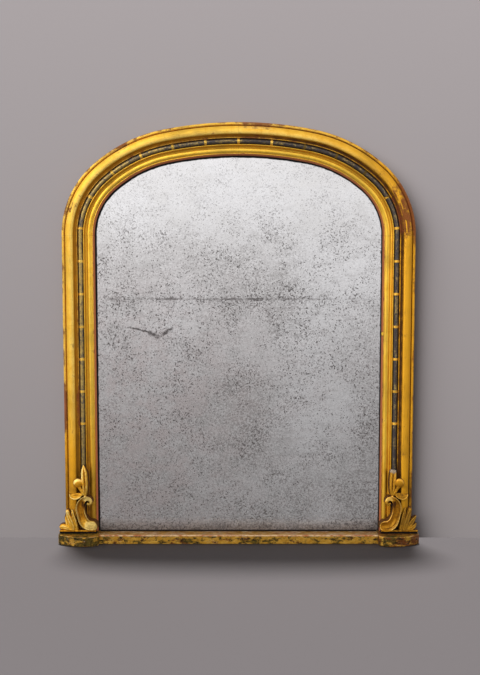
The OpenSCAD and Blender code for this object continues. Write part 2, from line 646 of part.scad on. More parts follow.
// The fan leaf beside it: four lobes that spring from its foot. Those on the left-hand side are more
// worn: the upper two are shorter, and the lowest is a broad roll.
module fan_leaf(side) color("goldenrod") ornament(side) {
    worn = side == "left";
    top_z = worn ? 76 : 82;
    ribbon([[79, 7, 19, ornament_d - 15, 0], [80, 22, 19, ornament_d - 13, 0],
            [84, 40, 15, ornament_d - 12, 0], [85.4, top_z - 24, 11.5, ornament_d - 12, 0],
            [86, top_z - 12, 8, ornament_d - 14, 0]],
        lobe_rib, back_d + 20, 2);
    ribbon([[66, 8, 7.5, ornament_d - 10, 0], [66.4, 20, 8.2, ornament_d - 9, 0.6],
            [69.6, 38, 8, ornament_d - 8, 1], [73.6, top_z - 25, 7.2, ornament_d - 8, 1],
            [76.4, top_z - 10, 5.8, ornament_d - 8, 0.8], [77.4, top_z - 1, 3.2, ornament_d - 10, 0]],
        lobe_rib, back_d + 20, 3);
    ribbon([[75, 8, 9, ornament_d - 7, 0], [77.4, 22, 10.4, ornament_d - 5.5, 0.6],
            [83, 41, 10.2, ornament_d - 4.5, 1], [88.6, top_z - 22, 9, ornament_d - 5, 1],
            [91, top_z - 9, 7.4, ornament_d - 6, 0.8], [91.6, top_z, 4.2, ornament_d - 9, 0]],
        lobe_rib, back_d + 20, 3);
    roll([[91.8, top_z - 6.5, 6.2, ornament_d - 11], [90.6, top_z - 13, 6.2, ornament_d - 11.5]]);
    ribbon(worn
        ? [[82, 8, 8, ornament_d - 8, 0], [88, 22, 9.6, ornament_d - 7, 0.6],
           [93, 37, 8.6, ornament_d - 9, 1], [96.6, 50, 5.6, ornament_d - 12, 0.6],
           [98, 62, 1.2, ornament_d - 15, 0]]
        : [[82, 8, 8, ornament_d - 8, 0], [89, 22, 10, ornament_d - 7, 0.6],
           [98, 36, 9.4, ornament_d - 8, 1], [106, 47, 6.2, ornament_d - 10, 0.8],
           [112, 55.5, 1.2, ornament_d - 13, 0]],
        lobe_rib, back_d + 20, 3);
    ribbon(worn
        ? [[80, 11, 5, ornament_d - 7, 0], [92, 17.6, 8.6, ornament_d - 5.5, 0.5],
           [103, 21, 10.4, ornament_d - 6.5, 0.6], [112, 19.4, 9.2, ornament_d - 9, 0.4],
           [117, 18, 5.4, ornament_d - 13, 0]]
        : [[82, 10.5, 5, ornament_d - 7, 0], [94, 15.5, 8, ornament_d - 6, 0.8],
           [103, 21, 8.6, ornament_d - 8, 1], [109, 27, 5.6, ornament_d - 10, 0.8],
           [112.4, 32.6, 1.2, ornament_d - 13, 0]],
        lobe_rib, back_d + 20, 3);
    slab(fan_joint_x, 117);
}

// The spray above: a pointed leaf, a round bud and a curled shell-like leaflet on one stem
module leaf_spray(side) color("gold") ornament(side) {
    leaf = [[38.6, 116, 5.4, ornament_d - 9, 0], [37.6, 127, 7.8, ornament_d - 8, 0.4],
            [37.6, 142, 9.6, ornament_d - 7, 1], [38.4, 160, 10.6, ornament_d - 8, 1],
            [39.8, 175, 11, ornament_d - 10, 1], [40.8, 187, 10.2, ornament_d - 12, 1],
            [42, leaf_tip_z - 15, 8, ornament_d - 14, 0.8],
            [42.8, leaf_tip_z - 7, 4.8, ornament_d - 17, 0.4], [43, leaf_tip_z, 0.6, ornament_d - 20, 0]];
    leaf_top = side == "right" ? leaf_break_z : leaf_tip_z + 1;
    intersection() {
        ribbon(leaf, leaf_blade, back_d + 8, 3);
        translate([0, -ornament_d, crown_joint_z]) cube([100, ornament_d, leaf_top - crown_joint_z]);
    }
    difference() {
        union() {
            roll([[43, 119, 5, ornament_d - 13], [46.4, 128, 4.6, ornament_d - 13],
                  [51, 137, 4.8, ornament_d - 14], [56.6, 146, 6.4, ornament_d - 15]]);
            translate([59.4, 16 - ornament_d, 157]) scale([1, 0.72, 1]) sphere(r = bud_r, $fn = 32);
            ribbon([[43, 122, 4.2, ornament_d - 9, 0], [50, 121.6, 6, ornament_d - 8, 0.4],
                    [58, 118, 8, ornament_d - 6, 1], [67, 115.4, 9, ornament_d - 5, 1],
                    [75, 116.2, 8, ornament_d - 5, 1], [81, 119, 5, ornament_d - 6, 0.7],
                    [85.4, 122, 1, ornament_d - 8, 0]], shell, back_d + 24, 3);
        }
        translate([0, -ornament_d - 5, 0]) cube([spray_foot_x, ornament_d + 5, crown_joint_z]);
    }
}

// ---- Hangers ----

bore_r = ring_wire_r + ring_r - sqrt(ring_r * ring_r - knuckle_w * knuckle_w / 4) + ring_play;
knuckle_r = bore_r + strap_t;
knuckle_sink = 0.1;
hinge_d = subframe_d - knuckle_sink - knuckle_r;
strap_d = subframe_d - strap_t;

// A tapered strap with the knuckle rolled at its top
strap_neck = 10;
strap_shoulder = 22;
strap_corner = 4;
strap_half = [
    [knuckle_w / 2, 0], [knuckle_w / 2, -strap_neck], [strap_w / 2, -strap_shoulder],
    [strap_w / 2, strap_corner - strap_len], [strap_w / 2 - strap_corner, -strap_len]];
strap_outline = concat(
    strap_half, [for (i = [len(strap_half) - 1:-1:0]) [-strap_half[i][0], strap_half[i][1]]]);
module hanger_strap(side) color("darkgoldenrod") placed() handed(side) difference() {
    union() {
        board(strap_d, subframe_d, [for (p = strap_outline) p + [hanger_x, hanger_z]]);
        translate([hanger_x - knuckle_w / 2, -hinge_d, hanger_z]) rotate([0, 90, 0])
            cylinder(r = knuckle_r, h = knuckle_w);
    }
    translate([hanger_x - knuckle_w / 2 - 1, -hinge_d, hanger_z]) rotate([0, 90, 0])
        cylinder(r = bore_r, h = knuckle_w + 2);
    for (z = hanger_screw_z) peg(hanger_x, z, screw_r + hole_gap, strap_d - 1, subframe_d + 1);
}

module hanger_ring(side) color("gray") placed() handed(side)
    translate([hanger_x, -hinge_d, hanger_z - ring_r]) rotate([90, 0, 0])
        rotate_extrude() translate([ring_r, 0]) circle(r = ring_wire_r);

module hanger_screws() color("gainsboro") placed() both_sides() for (z = hanger_screw_z) difference() {
    union() {
        peg(hanger_x, z, screw_head_r, strap_d - screw_head_h, strap_d);
        peg(hanger_x, z, screw_r, strap_d - screw_head_h / 2, strap_d + screw_len - tip_gap);
    }
    screw_slot(hanger_x, z, strap_d - screw_head_h);
}

module lap_screws() color("gray") placed() both_sides() for (p = lap_screw_points) difference() {
    union() {
        peg(p[0], p[1], screw_head_r, subframe_d, subframe_d + screw_head_h);
        peg(p[0], p[1], screw_r, subframe_d + screw_head_h / 2, subframe_d + screw_len - tip_gap);
    }
    screw_slot(p[0], p[1], subframe_d);
}

module screw_slot(x, z, face_d)
    translate([x - screw_head_r - 1, -face_d - screw_head_h / 2, z - 0.4])
        cube([2 * screw_head_r + 2, screw_head_h / 2 + 1, 0.8]);

subframe_sill();
subframe_stile("left");  // subframe_stile_left
subframe_stile("right");  // subframe_stile_right
subframe_haunch("left");  // subframe_haunch_left
subframe_haunch("right");  // subframe_haunch_right
subframe_crown();
moulding(0, "left");  // moulding_stile_left
moulding(1, "left");  // moulding_haunch_left
moulding(2, "left");  // moulding_shoulder_left
moulding(3, "left");  // moulding_crown_left
moulding(0, "right");  // moulding_stile_right
moulding(1, "right");  // moulding_haunch_right
moulding(2, "right");  // moulding_shoulder_right
moulding(3, "right");  // moulding_crown_right
reed(0, "left");  // reed_stile_left
reed(1, "left");  // reed_haunch_left
reed(2, "left");  // reed_shoulder_left
reed(3, "left");  // reed_crown_left
reed(0, "right");  // reed_stile_right
reed(1, "right");  // reed_haunch_right
reed(2, "right");  // reed_shoulder_right
reed(3, "right");  // reed_crown_right
reed_ties();
slip(0, "left");  // slip_stile_left
slip(1, "left");  // slip_haunch_left
slip(2, "left");  // slip_shoulder_left
slip(3, "left");  // slip_crown_left
slip(0, "right");  // slip_stile_right
slip(1, "right");  // slip_haunch_right
slip(2, "right");  // slip_shoulder_right
slip(3, "right");  // slip_crown_right
base_rail();
plinth("left");  // plinth_left
plinth("right");  // plinth_right
scroll("left");  // scroll_left
scroll("right");  // scroll_right
fan_leaf("left");  // fan_leaf_left
fan_leaf("right");  // fan_leaf_right
leaf_spray("left");  // leaf_spray_left
leaf_spray("right");  // leaf_spray_right
mirror_plate();
glazing_blocks();
backboard(0);  // backboard_1
backboard(1);  // backboard_2
backboard(2);  // backboard_3
backboard(3);  // backboard_4
backboard(4);  // backboard_5
backboard_nails();
lap_screws();
hanger_strap("left");  // hanger_strap_left
hanger_strap("right");  // hanger_strap_right
hanger_ring("left");  // hanger_ring_left
hanger_ring("right");  // hanger_ring_right
hanger_screws();
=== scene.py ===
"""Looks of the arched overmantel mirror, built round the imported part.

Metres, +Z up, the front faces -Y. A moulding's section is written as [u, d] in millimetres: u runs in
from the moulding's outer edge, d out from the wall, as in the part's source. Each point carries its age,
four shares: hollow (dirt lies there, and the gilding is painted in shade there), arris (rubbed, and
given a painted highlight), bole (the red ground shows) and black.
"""
import json
import math

import bmesh
import bpy
import numpy as np
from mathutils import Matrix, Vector, noise

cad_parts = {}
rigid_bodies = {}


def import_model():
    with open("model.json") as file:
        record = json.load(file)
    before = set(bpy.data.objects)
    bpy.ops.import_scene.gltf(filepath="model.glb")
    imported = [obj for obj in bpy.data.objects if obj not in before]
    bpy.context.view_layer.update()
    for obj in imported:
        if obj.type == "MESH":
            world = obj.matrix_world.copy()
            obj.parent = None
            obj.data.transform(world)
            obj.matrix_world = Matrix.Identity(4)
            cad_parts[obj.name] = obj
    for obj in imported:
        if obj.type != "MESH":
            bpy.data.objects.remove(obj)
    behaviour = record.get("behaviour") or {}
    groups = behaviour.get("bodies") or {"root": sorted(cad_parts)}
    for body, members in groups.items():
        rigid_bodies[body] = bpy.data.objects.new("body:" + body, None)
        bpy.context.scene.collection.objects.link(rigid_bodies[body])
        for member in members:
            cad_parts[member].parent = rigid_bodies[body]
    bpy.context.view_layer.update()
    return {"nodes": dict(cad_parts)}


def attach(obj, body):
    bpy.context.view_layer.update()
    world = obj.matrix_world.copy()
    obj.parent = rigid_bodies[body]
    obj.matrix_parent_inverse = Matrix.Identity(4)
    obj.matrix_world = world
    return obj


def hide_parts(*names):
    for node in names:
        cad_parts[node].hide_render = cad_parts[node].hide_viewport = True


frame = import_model()

MM = 0.001
SIDES = (("left", -1), ("right", 1))

# ---------------------------------------------------------------- the part's own sizes, in millimetres

HALF_WIDTH, SPRING_Z, ARCH_RISE = 530.0, 936.0, 335.0
HAUNCH_R, HAUNCH_ANGLE, SHOULDER_ANGLE = 277.0, 47.7, 31.2
WALL_Y, BACK_D = 53.0, 27.0
RAIL_H, RAIL_D, RAIL_NOSE = 27.0, 72.0, 3.0
PLINTH_H, PLINTH_IN, PLINTH_OUT = 30.0, 425.0, 550.0
PLINTH_BOW, PLINTH_RETURN, PLINTH_PEAK, PLINTH_CHAMFER = 34.0, 16.0, 35.0, 3.0
ORNAMENT_D, SIGHT_X = 77.0, 429.5
TIE_PITCH, TIE_W, TIE_T, LOWEST_TIE_Z = 98.5, 5.0, 0.6, 275.0
LEAF_BREAK_Z = 196.0


def rad(degrees):
    return math.radians(degrees)


def arch_legs():
    """Centre, radius and angles of each leg. The stile is straight, and the three arcs meet smoothly."""
    a1, a2 = rad(HAUNCH_ANGLE), rad(HAUNCH_ANGLE + SHOULDER_ANGLE)
    m = np.array([[math.cos(a2) - math.cos(a1), -math.cos(a2)],
                  [math.sin(a2) - math.sin(a1), 1 - math.sin(a2)]])
    v = np.array([-(HALF_WIDTH - HAUNCH_R + HAUNCH_R * math.cos(a1)),
                  ARCH_RISE - HAUNCH_R * math.sin(a1)])
    shoulder_r, crown_r = np.linalg.solve(m, v)
    haunch_c = (HALF_WIDTH - HAUNCH_R, SPRING_Z)
    shoulder_c = (haunch_c[0] + (HAUNCH_R - shoulder_r) * math.cos(a1),
                  haunch_c[1] + (HAUNCH_R - shoulder_r) * math.sin(a1))
    crown_c = (0.0, SPRING_Z + ARCH_RISE - crown_r)
    return {"stile": ((0.0, PLINTH_H), HALF_WIDTH, 0.0, 0.0),
            "haunch": (haunch_c, HAUNCH_R, 0.0, a1),
            "shoulder": (shoulder_c, shoulder_r, a1, a2),
            "crown": (crown_c, crown_r, a2, math.pi / 2)}


LEGS = arch_legs()
ARCS = ("haunch", "shoulder", "crown")
STILE_H = SPRING_Z - PLINTH_H


# ---------------------------------------------------------------- sections

class Section:
    """A closed outline of [u, d], with the age of each point."""

    def __init__(self):
        self.points, self.age = [], []

    def add(self, points, hollow=0.0, arris=0.0, bole=0.0, black=0.0):
        self.points += points
        self.age += [(hollow, arris, bole, black)] * len(points)

    def arc(self, c, r, start, end, n, ages):
        """ages is one (hollow, arris, bole, black), or two to run between."""
        first, last = (ages, ages) if not isinstance(ages[0], tuple) else ages
        for i in range(n + 1):
            t = i / n
            a = rad(start + (end - start) * t)
            self.points.append((c[0] + r * math.cos(a), c[1] + r * math.sin(a)))
            self.age.append(tuple(p + (q - p) * t for p, q in zip(first, last)))


BEAD_R, BEAD_RISE, QUIRK_W, QUIRK_DROP = 5.2, 16.0, 1.4, 0.6
OVOLO_W, OVOLO_RISE, CREST_H, ROLL_R, COVE_R = 17.4, 10.0, 35.0, 5.0, 6.9
FOOT_BEAD_R, FOOT_BEAD_RISE, CHANNEL_FLOOR_H, COVE_LIFT = 1.7, 20.0, 11.0, 0.5
REED_R, REED_LIFT, REED_GAP = 7.8, 3.5, 0.75

QUIRK_U = 2 * BEAD_R
OVOLO_U = QUIRK_U + QUIRK_W
CREST_U = OVOLO_U + OVOLO_W
CREST_D = BACK_D + CREST_H
OVOLO_R = (OVOLO_W ** 2 + OVOLO_RISE ** 2) / (2 * OVOLO_RISE)
ROLL_ANGLE = 80.0
ROLL_C = (CREST_U + (OVOLO_R - ROLL_R) * math.cos(rad(ROLL_ANGLE)),
          CREST_D - OVOLO_R + (OVOLO_R - ROLL_R) * math.sin(rad(ROLL_ANGLE)))
COVE_U = ROLL_C[0] + ROLL_R
FOOT_C = (COVE_U + COVE_R + FOOT_BEAD_R, BACK_D + FOOT_BEAD_RISE)
CHANNEL_U = FOOT_C[0] + FOOT_BEAD_R
REED_U = CHANNEL_U + REED_GAP + REED_R
FLOOR_D = BACK_D + CHANNEL_FLOOR_H
REED_D = FLOOR_D + REED_LIFT
SLIP_U = REED_U + REED_R + REED_GAP


def moulding_section():
    s = Section()
    s.add([(0, BACK_D), (0, BACK_D + 5), (0, BACK_D + 10)], hollow=0.35, bole=0.3)
    s.arc((BEAD_R, BACK_D + BEAD_RISE), BEAD_R, 180, 25, 16, ((0.2, 0.45, 0.30, 0), (0.1, 0.35, 0, 0)))
    floor = BACK_D + BEAD_RISE - QUIRK_DROP
    s.add([(QUIRK_U, floor), (OVOLO_U, floor)], hollow=0.8, bole=0.35)
    c, start = (CREST_U, CREST_D - OVOLO_R), 180 - math.degrees(math.acos(OVOLO_W / OVOLO_R))
    s.arc(c, OVOLO_R, start, start - 8, 2, ((0.55, 0, 0.25, 0), (0.1, 0.1, 0, 0)))
    # The crest and its roll get a high arris, rubbing and a painted highlight; the cove below gets a high
    # hollow, dirt and painted shade.
    s.arc(c, OVOLO_R, start - 12, ROLL_ANGLE, 14, ((0, 0.15, 0, 0), (0, 0.6, 0, 0)))
    s.arc(ROLL_C, ROLL_R, ROLL_ANGLE - 10, 0, 9, ((0, 0.6, 0, 0), (0.55, 0, 0, 0)))
    c = (COVE_U + COVE_R, FOOT_C[1] + COVE_LIFT + COVE_R)
    s.arc(c, COVE_R, 180, 270, 14, ((0.55, 0, 0.05, 0), (0.8, 0, 0.1, 0)))
    s.arc(FOOT_C, FOOT_BEAD_R, 150, 0, 8, (0.4, 0.5, 0.15, 0))
    s.add([(CHANNEL_U, FLOOR_D + 4), (CHANNEL_U, FLOOR_D), (SLIP_U, FLOOR_D), (SLIP_U, BACK_D)], hollow=1)
    return s


SLIP_WALL_H, SLIP_BEAD_R, SLIP_COVE_R, COVE_STEP = 17.5, 2.0, 6.5, 1.0
BAND_W, BAND_RISE, FILLET_R = 15.5, 3.0, 1.3
BEVEL_STEP, BEVEL_W, BEVEL_DROP, BLACK_W = 0.8, 4.9, 2.7, 3.0
SLIP_D = BACK_D + SLIP_WALL_H
SLIP_FLOOR_D = SLIP_D - COVE_STEP - SLIP_COVE_R
BAND_U = SLIP_U + 2 * SLIP_BEAD_R + SLIP_COVE_R
BAND_R = (BAND_W ** 2 / 4 + BAND_RISE ** 2) / (2 * BAND_RISE)
FILLET_U = BAND_U + BAND_W
BEVEL_U = FILLET_U + 2 * FILLET_R
BEVEL_D = SLIP_FLOOR_D - BEVEL_STEP


def slip_section():
    s = Section()
    s.add([(SLIP_U, BACK_D), (SLIP_U, SLIP_D - 6)], hollow=1)
    s.arc((SLIP_U + SLIP_BEAD_R, SLIP_D), SLIP_BEAD_R, 180, 0, 10, (0.35, 0.3, 0.12, 0))
    s.arc((BAND_U, SLIP_D - COVE_STEP), SLIP_COVE_R, 180, 270, 12, ((0.45, 0, 0, 0), (0.40, 0, 0.05, 0)))
    half = math.degrees(math.asin(BAND_W / 2 / BAND_R))
    c = (BAND_U + BAND_W / 2, SLIP_FLOOR_D + BAND_RISE - BAND_R)
    s.arc(c, BAND_R, 90 + half - 3, 90 - half, 16, ((0.3, 0.1, 0, 0), (0, 0.3, 0, 0)))
    s.arc((FILLET_U + FILLET_R, SLIP_FLOOR_D), FILLET_R, 150, 0, 8, ((0.3, 0.5, 0, 0), (0.3, 0.4, 0.25, 0)))
    low = BEVEL_D - BEVEL_DROP
    end = BEVEL_U + BEVEL_W
    s.add([(BEVEL_U, BEVEL_D), (BEVEL_U + 0.6, BEVEL_D - 0.3)], hollow=0.3, bole=0.75)
    s.add([(end - 0.7, low + 0.4), (end, low)], hollow=0.1, bole=0.95)
    s.add([(end + 0.35, low - 0.35), (end + BLACK_W, low - BLACK_W), (end + BLACK_W, BACK_D)], black=1)
    return s


def reed_section():
    s = Section()
    flat = math.degrees(math.asin(REED_LIFT / REED_R))
    s.arc((REED_U, REED_D), REED_R, 180 + flat, 120, 12, ((1, 0, 0, 0), (0.2, 0.3, 0, 0)))
    s.arc((REED_U, REED_D), REED_R, 114, 66, 8, (0, 0.9, 0, 0))
    s.arc((REED_U, REED_D), REED_R, 60, -flat, 12, ((0.2, 0.3, 0, 0), (1, 0, 0, 0)))
    return s


# ---------------------------------------------------------------- mesh helpers

def new_object(name, data):
    o = bpy.data.objects.new(name, data)
    bpy.context.scene.collection.objects.link(o)
    return o


def mesh_from(name, points, faces):
    me = bpy.data.meshes.new(name)
    me.from_pydata(points, [], faces)
    me.validate()
    return me


def tube(name, rings):
    """A closed mesh through rings of points, capped at both ends."""
    m, last = len(rings[0]), len(rings) - 1
    faces = [(j * m + i, j * m + (i + 1) % m, (j + 1) * m + (i + 1) % m, (j + 1) * m + i)
             for j in range(last) for i in range(m)]
    faces += [tuple(range(m - 1, -1, -1)), tuple(last * m + i for i in range(m))]
    return mesh_from(name, [tuple(p) for ring in rings for p in ring], faces)


def mesh_of(bm, name):
    me = bpy.data.meshes.new(name)
    bm.to_mesh(me)
    bm.free()
    return me


def rows_of(items, key, width, kind=float):
    """One value of all of a mesh's points, edges or corners, as rows."""
    out = np.empty(len(items) * width, dtype=kind)
    items.foreach_get(key, out)
    return out.reshape(-1, width)


def points_of(me):
    return rows_of(me.vertices, "co", 3)


def set_points(me, p):
    me.vertices.foreach_set("co", np.ascontiguousarray(p, dtype=float).ravel())
    me.update()


def put_age(me, values):
    """Stores the age as the point attribute that the finishes read."""
    a = me.attributes.get("age") or me.attributes.new("age", "FLOAT_COLOR", "POINT")
    a.data.foreach_set("color", np.clip(values, -1, 1).astype(float).ravel())


def get_age(me):
    return rows_of(me.attributes["age"].data, "color", 4)


def ramp(value, start, end):
    """0 at start and 1 at end, and no more beyond them."""
    return np.clip((value - start) / (end - start), 0, 1)


def baked(obj, name):
    """The evaluated mesh of an object with live modifiers, as a plain object of its own."""
    dg = bpy.context.evaluated_depsgraph_get()
    dg.update()
    me = bpy.data.meshes.new_from_object(obj.evaluated_get(dg), preserve_all_data_layers=True, depsgraph=dg)
    me.name = name
    bpy.data.objects.remove(obj)
    return new_object(name, me)


def skinned(me, name, voxel_mm, passes):
    """Joins a mesh's forms into one skin by a fine remesh, then softens it as gesso and gilding do."""
    raw = new_object("raw", me)
    remesh = raw.modifiers.new("skin", "REMESH")
    remesh.mode = "VOXEL"
    remesh.voxel_size = voxel_mm * MM
    soft = raw.modifiers.new("gesso", "SMOOTH")
    soft.factor = 0.5
    soft.iterations = passes
    return baked(raw, name)


def form_age(me, reach, gain):
    """Finds hollows and arrises from the mesh's own form: a point below its neighbours is a hollow."""
    n = len(me.vertices)
    p, normals = points_of(me), rows_of(me.vertices, "normal", 3)
    e = rows_of(me.edges, "vertices", 2, np.int64)
    both = np.vstack([e, e[:, ::-1]])
    step = p[both[:, 1]] - p[both[:, 0]]
    rise = (normals[both[:, 0]] * step).sum(1) / np.maximum(np.linalg.norm(step, axis=1), 1e-9)
    count = np.maximum(np.bincount(both[:, 0], minlength=n), 1)
    form = np.bincount(both[:, 0], rise, n) / count
    for _ in range(reach):
        form = 0.4 * form + 0.6 * np.bincount(both[:, 0], form[both[:, 1]], n) / count
    return np.clip(form * gain, 0, 1), np.clip(-form * gain, 0, 1)


def dress(me, finish):
    me.materials.clear()
    me.materials.append(FINISHES[finish])


def hand_over(piece, node, sharp=None):
    """Turns a piece's faces outwards, and puts it on the frame in place of its CAD node."""
    me = piece.data
    bm = bmesh.new()
    bm.from_mesh(me)
    if bm.calc_volume(signed=True) < 0:
        bmesh.ops.reverse_faces(bm, faces=bm.faces[:])
    bm.to_mesh(me)
    bm.free()
    me.shade_smooth()
    if sharp:
        me.set_sharp_from_angle(angle=rad(sharp))
    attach(piece, "frame")
    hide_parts(node)


# ---------------------------------------------------------------- node trees

class Value:
    """One output of a node tree, which sums and products can be written with."""

    def __init__(self, tree, socket):
        self.tree, self.socket = tree, socket

    def __add__(self, other):
        return self.tree.math("ADD", self, other)

    def __sub__(self, other):
        return self.tree.math("SUBTRACT", self, other)

    def __rsub__(self, other):
        return self.tree.math("SUBTRACT", other, self)

    def __mul__(self, other):
        return self.tree.math("MULTIPLY", self, other)

    def __truediv__(self, other):
        return self.tree.math("DIVIDE", self, other)

    def __abs__(self):
        return self.tree.math("ABSOLUTE", self)

    def step(self, low, high, to_low=0.0, to_high=1.0):
        """A smooth step from to_low, where the value is low, to to_high, where it is high."""
        return self.tree.value("ShaderNodeMapRange", {
            "Value": self, "From Min": low, "From Max": high, "To Min": to_low, "To Max": to_high},
            interpolation_type="SMOOTHSTEP")


def highest(first, *others):
    for other in others:
        first = first.tree.math("MAXIMUM", first, other)
    return first


class Tree:
    """A small writer of node trees."""

    def __init__(self, tree):
        self.t = tree

    def set(self, socket, value):
        if isinstance(value, Value):
            self.t.links.new(value.socket, socket)
        elif isinstance(value, tuple) and len(value) == 3 and socket.type == "RGBA":
            socket.default_value = (*value, 1)
        else:
            socket.default_value = value

    def node(self, kind, links=(), **props):
        n = self.t.nodes.new(kind)
        for k, v in props.items():
            setattr(n, k, v)
        for socket, value in dict(links).items():
            self.set(n.inputs[socket], value)
        return n

    def value(self, kind, links=(), output=0, **props):
        return Value(self, self.node(kind, links, **props).outputs[output])

    def math(self, op, a, b=0.0, clamp=False):
        return self.value("ShaderNodeMath", {0: a, 1: b}, operation=op, use_clamp=clamp)

    def split(self, vector):
        return [Value(self, s) for s in self.node("ShaderNodeSeparateXYZ", {0: vector}).outputs]

    def mix(self, share, a, b):
        return self.value("ShaderNodeMix", {0: share, 6: a, 7: b}, 2, data_type="RGBA")


class GeoTree(Tree):
    """A Geometry Nodes tree with named inputs, the last of which is the finish."""

    def __init__(self, name, inputs):
        super().__init__(bpy.data.node_groups.new(name, "GeometryNodeTree"))
        face = self.t.interface
        face.new_socket("Geometry", in_out="INPUT", socket_type="NodeSocketGeometry")
        self.ids = {label: face.new_socket(label, in_out="INPUT", socket_type="NodeSocket" + kind).identifier
                    for label, kind in {**inputs, "Finish": "Material"}.items()}
        face.new_socket("Geometry", in_out="OUTPUT", socket_type="NodeSocketGeometry")
        self.given = self.t.nodes.new("NodeGroupInput")
        self.out = self.t.nodes.new("NodeGroupOutput")

    def __getitem__(self, label):
        return Value(self, self.given.outputs[label])

    def end(self, geometry):
        real = self.value("GeometryNodeRealizeInstances", {"Geometry": geometry})
        self.set(self.out.inputs[0], self.value("GeometryNodeSetMaterial", {
            "Geometry": real, "Material": self["Finish"]}))

    def apply(self, obj, name, finish, **values):
        mod = obj.modifiers.new(name, "NODES")
        mod.node_group = self.t
        mod[self.ids["Finish"]] = FINISHES[finish]
        for label, value in values.items():
            mod[self.ids[label.replace("_", " ")]] = value
        return baked(obj, name)


def sweep_tree():
    """Bends a straight length of section, (u, d, share of the run), up a stile or round an arc."""
    t = GeoTree("sweep", dict.fromkeys((
        "Side", "Centre X", "Centre Z", "Radius", "Start Angle", "Sweep Angle", "Rise", "Wall Y",
        "Waver", "Waver Scale"), "Float"))
    u, d, share = t.split(t.value("GeometryNodeInputPosition"))
    angle = share * t["Sweep Angle"] + t["Start Angle"]
    reach = t["Radius"] - u
    x = t["Centre X"] + reach * t.math("COSINE", angle)
    z = t["Centre Z"] + reach * t.math("SINE", angle) + share * t["Rise"]
    to = t.value("ShaderNodeCombineXYZ", {0: x * t["Side"], 1: t["Wall Y"] - d, 2: z})
    bent = t.value("GeometryNodeSetPosition", {"Geometry": t["Geometry"], "Position": to})
    rough = t.value("ShaderNodeTexNoise", {"Scale": t["Waver Scale"], "Detail": 2.0})
    off = t.value("ShaderNodeVectorMath", {
        0: t.value("GeometryNodeInputNormal"), "Scale": (rough - 0.5) * t["Waver"]}, operation="SCALE")
    t.end(t.value("GeometryNodeSetPosition", {"Geometry": bent, "Offset": off}))
    return t


def ties_tree():
    """Puts a tie at equal steps along the reed's middle line, turned to follow it."""
    t = GeoTree("ties", {"Tie": "Object", "Count": "Int"})
    steps = t.node("GeometryNodeCurveToPoints", {0: t["Geometry"], "Count": t["Count"]}, mode="COUNT")
    tangent = Value(t, steps.outputs["Tangent"])
    turn = t.value("FunctionNodeAlignRotationToVector", {"Vector": tangent}, axis="Z", pivot_axis="Y")
    t.end(t.value("GeometryNodeInstanceOnPoints", {
        "Points": Value(t, steps.outputs[0]), "Rotation": turn,
        "Instance": t.value("GeometryNodeObjectInfo", {"Object": t["Tie"]}, "Geometry")}))
    return t


class Finish(Tree):
    """A material round one Principled shader."""

    def __init__(self, name):
        self.mat = bpy.data.materials.new(name)
        self.mat.use_nodes = True
        super().__init__(self.mat.node_tree)
        self.shader = self.t.nodes["Principled BSDF"]
        self.place = self.value("ShaderNodeTexCoord", (), "Object")

    def surface(self, **sockets):
        for name, value in sockets.items():
            self.set(self.shader.inputs[name.replace("_", " ")], value)
        return self.mat

    def mapped(self, where, stretch=(1, 1, 1), shift=0.0):
        return self.value("ShaderNodeMapping", {"Vector": where, "Scale": stretch, "Location": (shift,) * 3})

    def noise(self, scale, detail=3.0, roughness=0.55, stretch=None, shift=0.0, where=None):
        where = where or self.place
        if stretch or shift:
            where = self.mapped(where, stretch or (1, 1, 1), shift)
        return self.value("ShaderNodeTexNoise", {
            "Vector": where, "Scale": scale, "Detail": detail, "Roughness": roughness})

    def bump(self, height, distance, strength=0.5):
        self.surface(Normal=self.value("ShaderNodeBump", {
            "Height": height, "Distance": distance, "Strength": strength}))

    def age(self):
        """Hollow, arris, bole and black of the piece's own age attribute."""
        a = self.node("ShaderNodeAttribute", attribute_name="age")
        colour, black = (Value(self, a.outputs[key]) for key in ("Color", "Alpha"))
        parts = self.node("ShaderNodeSeparateColor", {0: colour}).outputs
        return [*(Value(self, s) for s in parts), black]

    def run(self):
        """The piece's own map: across the section, and along the whole run, in metres."""
        return self.value("ShaderNodeUVMap", uv_map="run")


# ---------------------------------------------------------------- gilding and the base's finish

LEAF_LIGHT, LEAF_GOLD, LEAF_DEEP = (0.90, 0.665, 0.19), (0.89, 0.56, 0.066), (0.66, 0.32, 0.020)
LEAF_WARM, LEAF_SHADE, LEAF_PALE = (0.84, 0.42, 0.022), (0.66, 0.27, 0.010), (1.0, 0.84, 0.32)
DIRT_AND_SHADE_BROWN, BOLE_RED, SIGHT_RED = (0.105, 0.040, 0.007), (0.36, 0.085, 0.034), (0.56, 0.145, 0.070)
SIGHT_BLACK, GESSO = (0.006, 0.005, 0.006), (0.66, 0.60, 0.50)
LEAF_W = 0.079


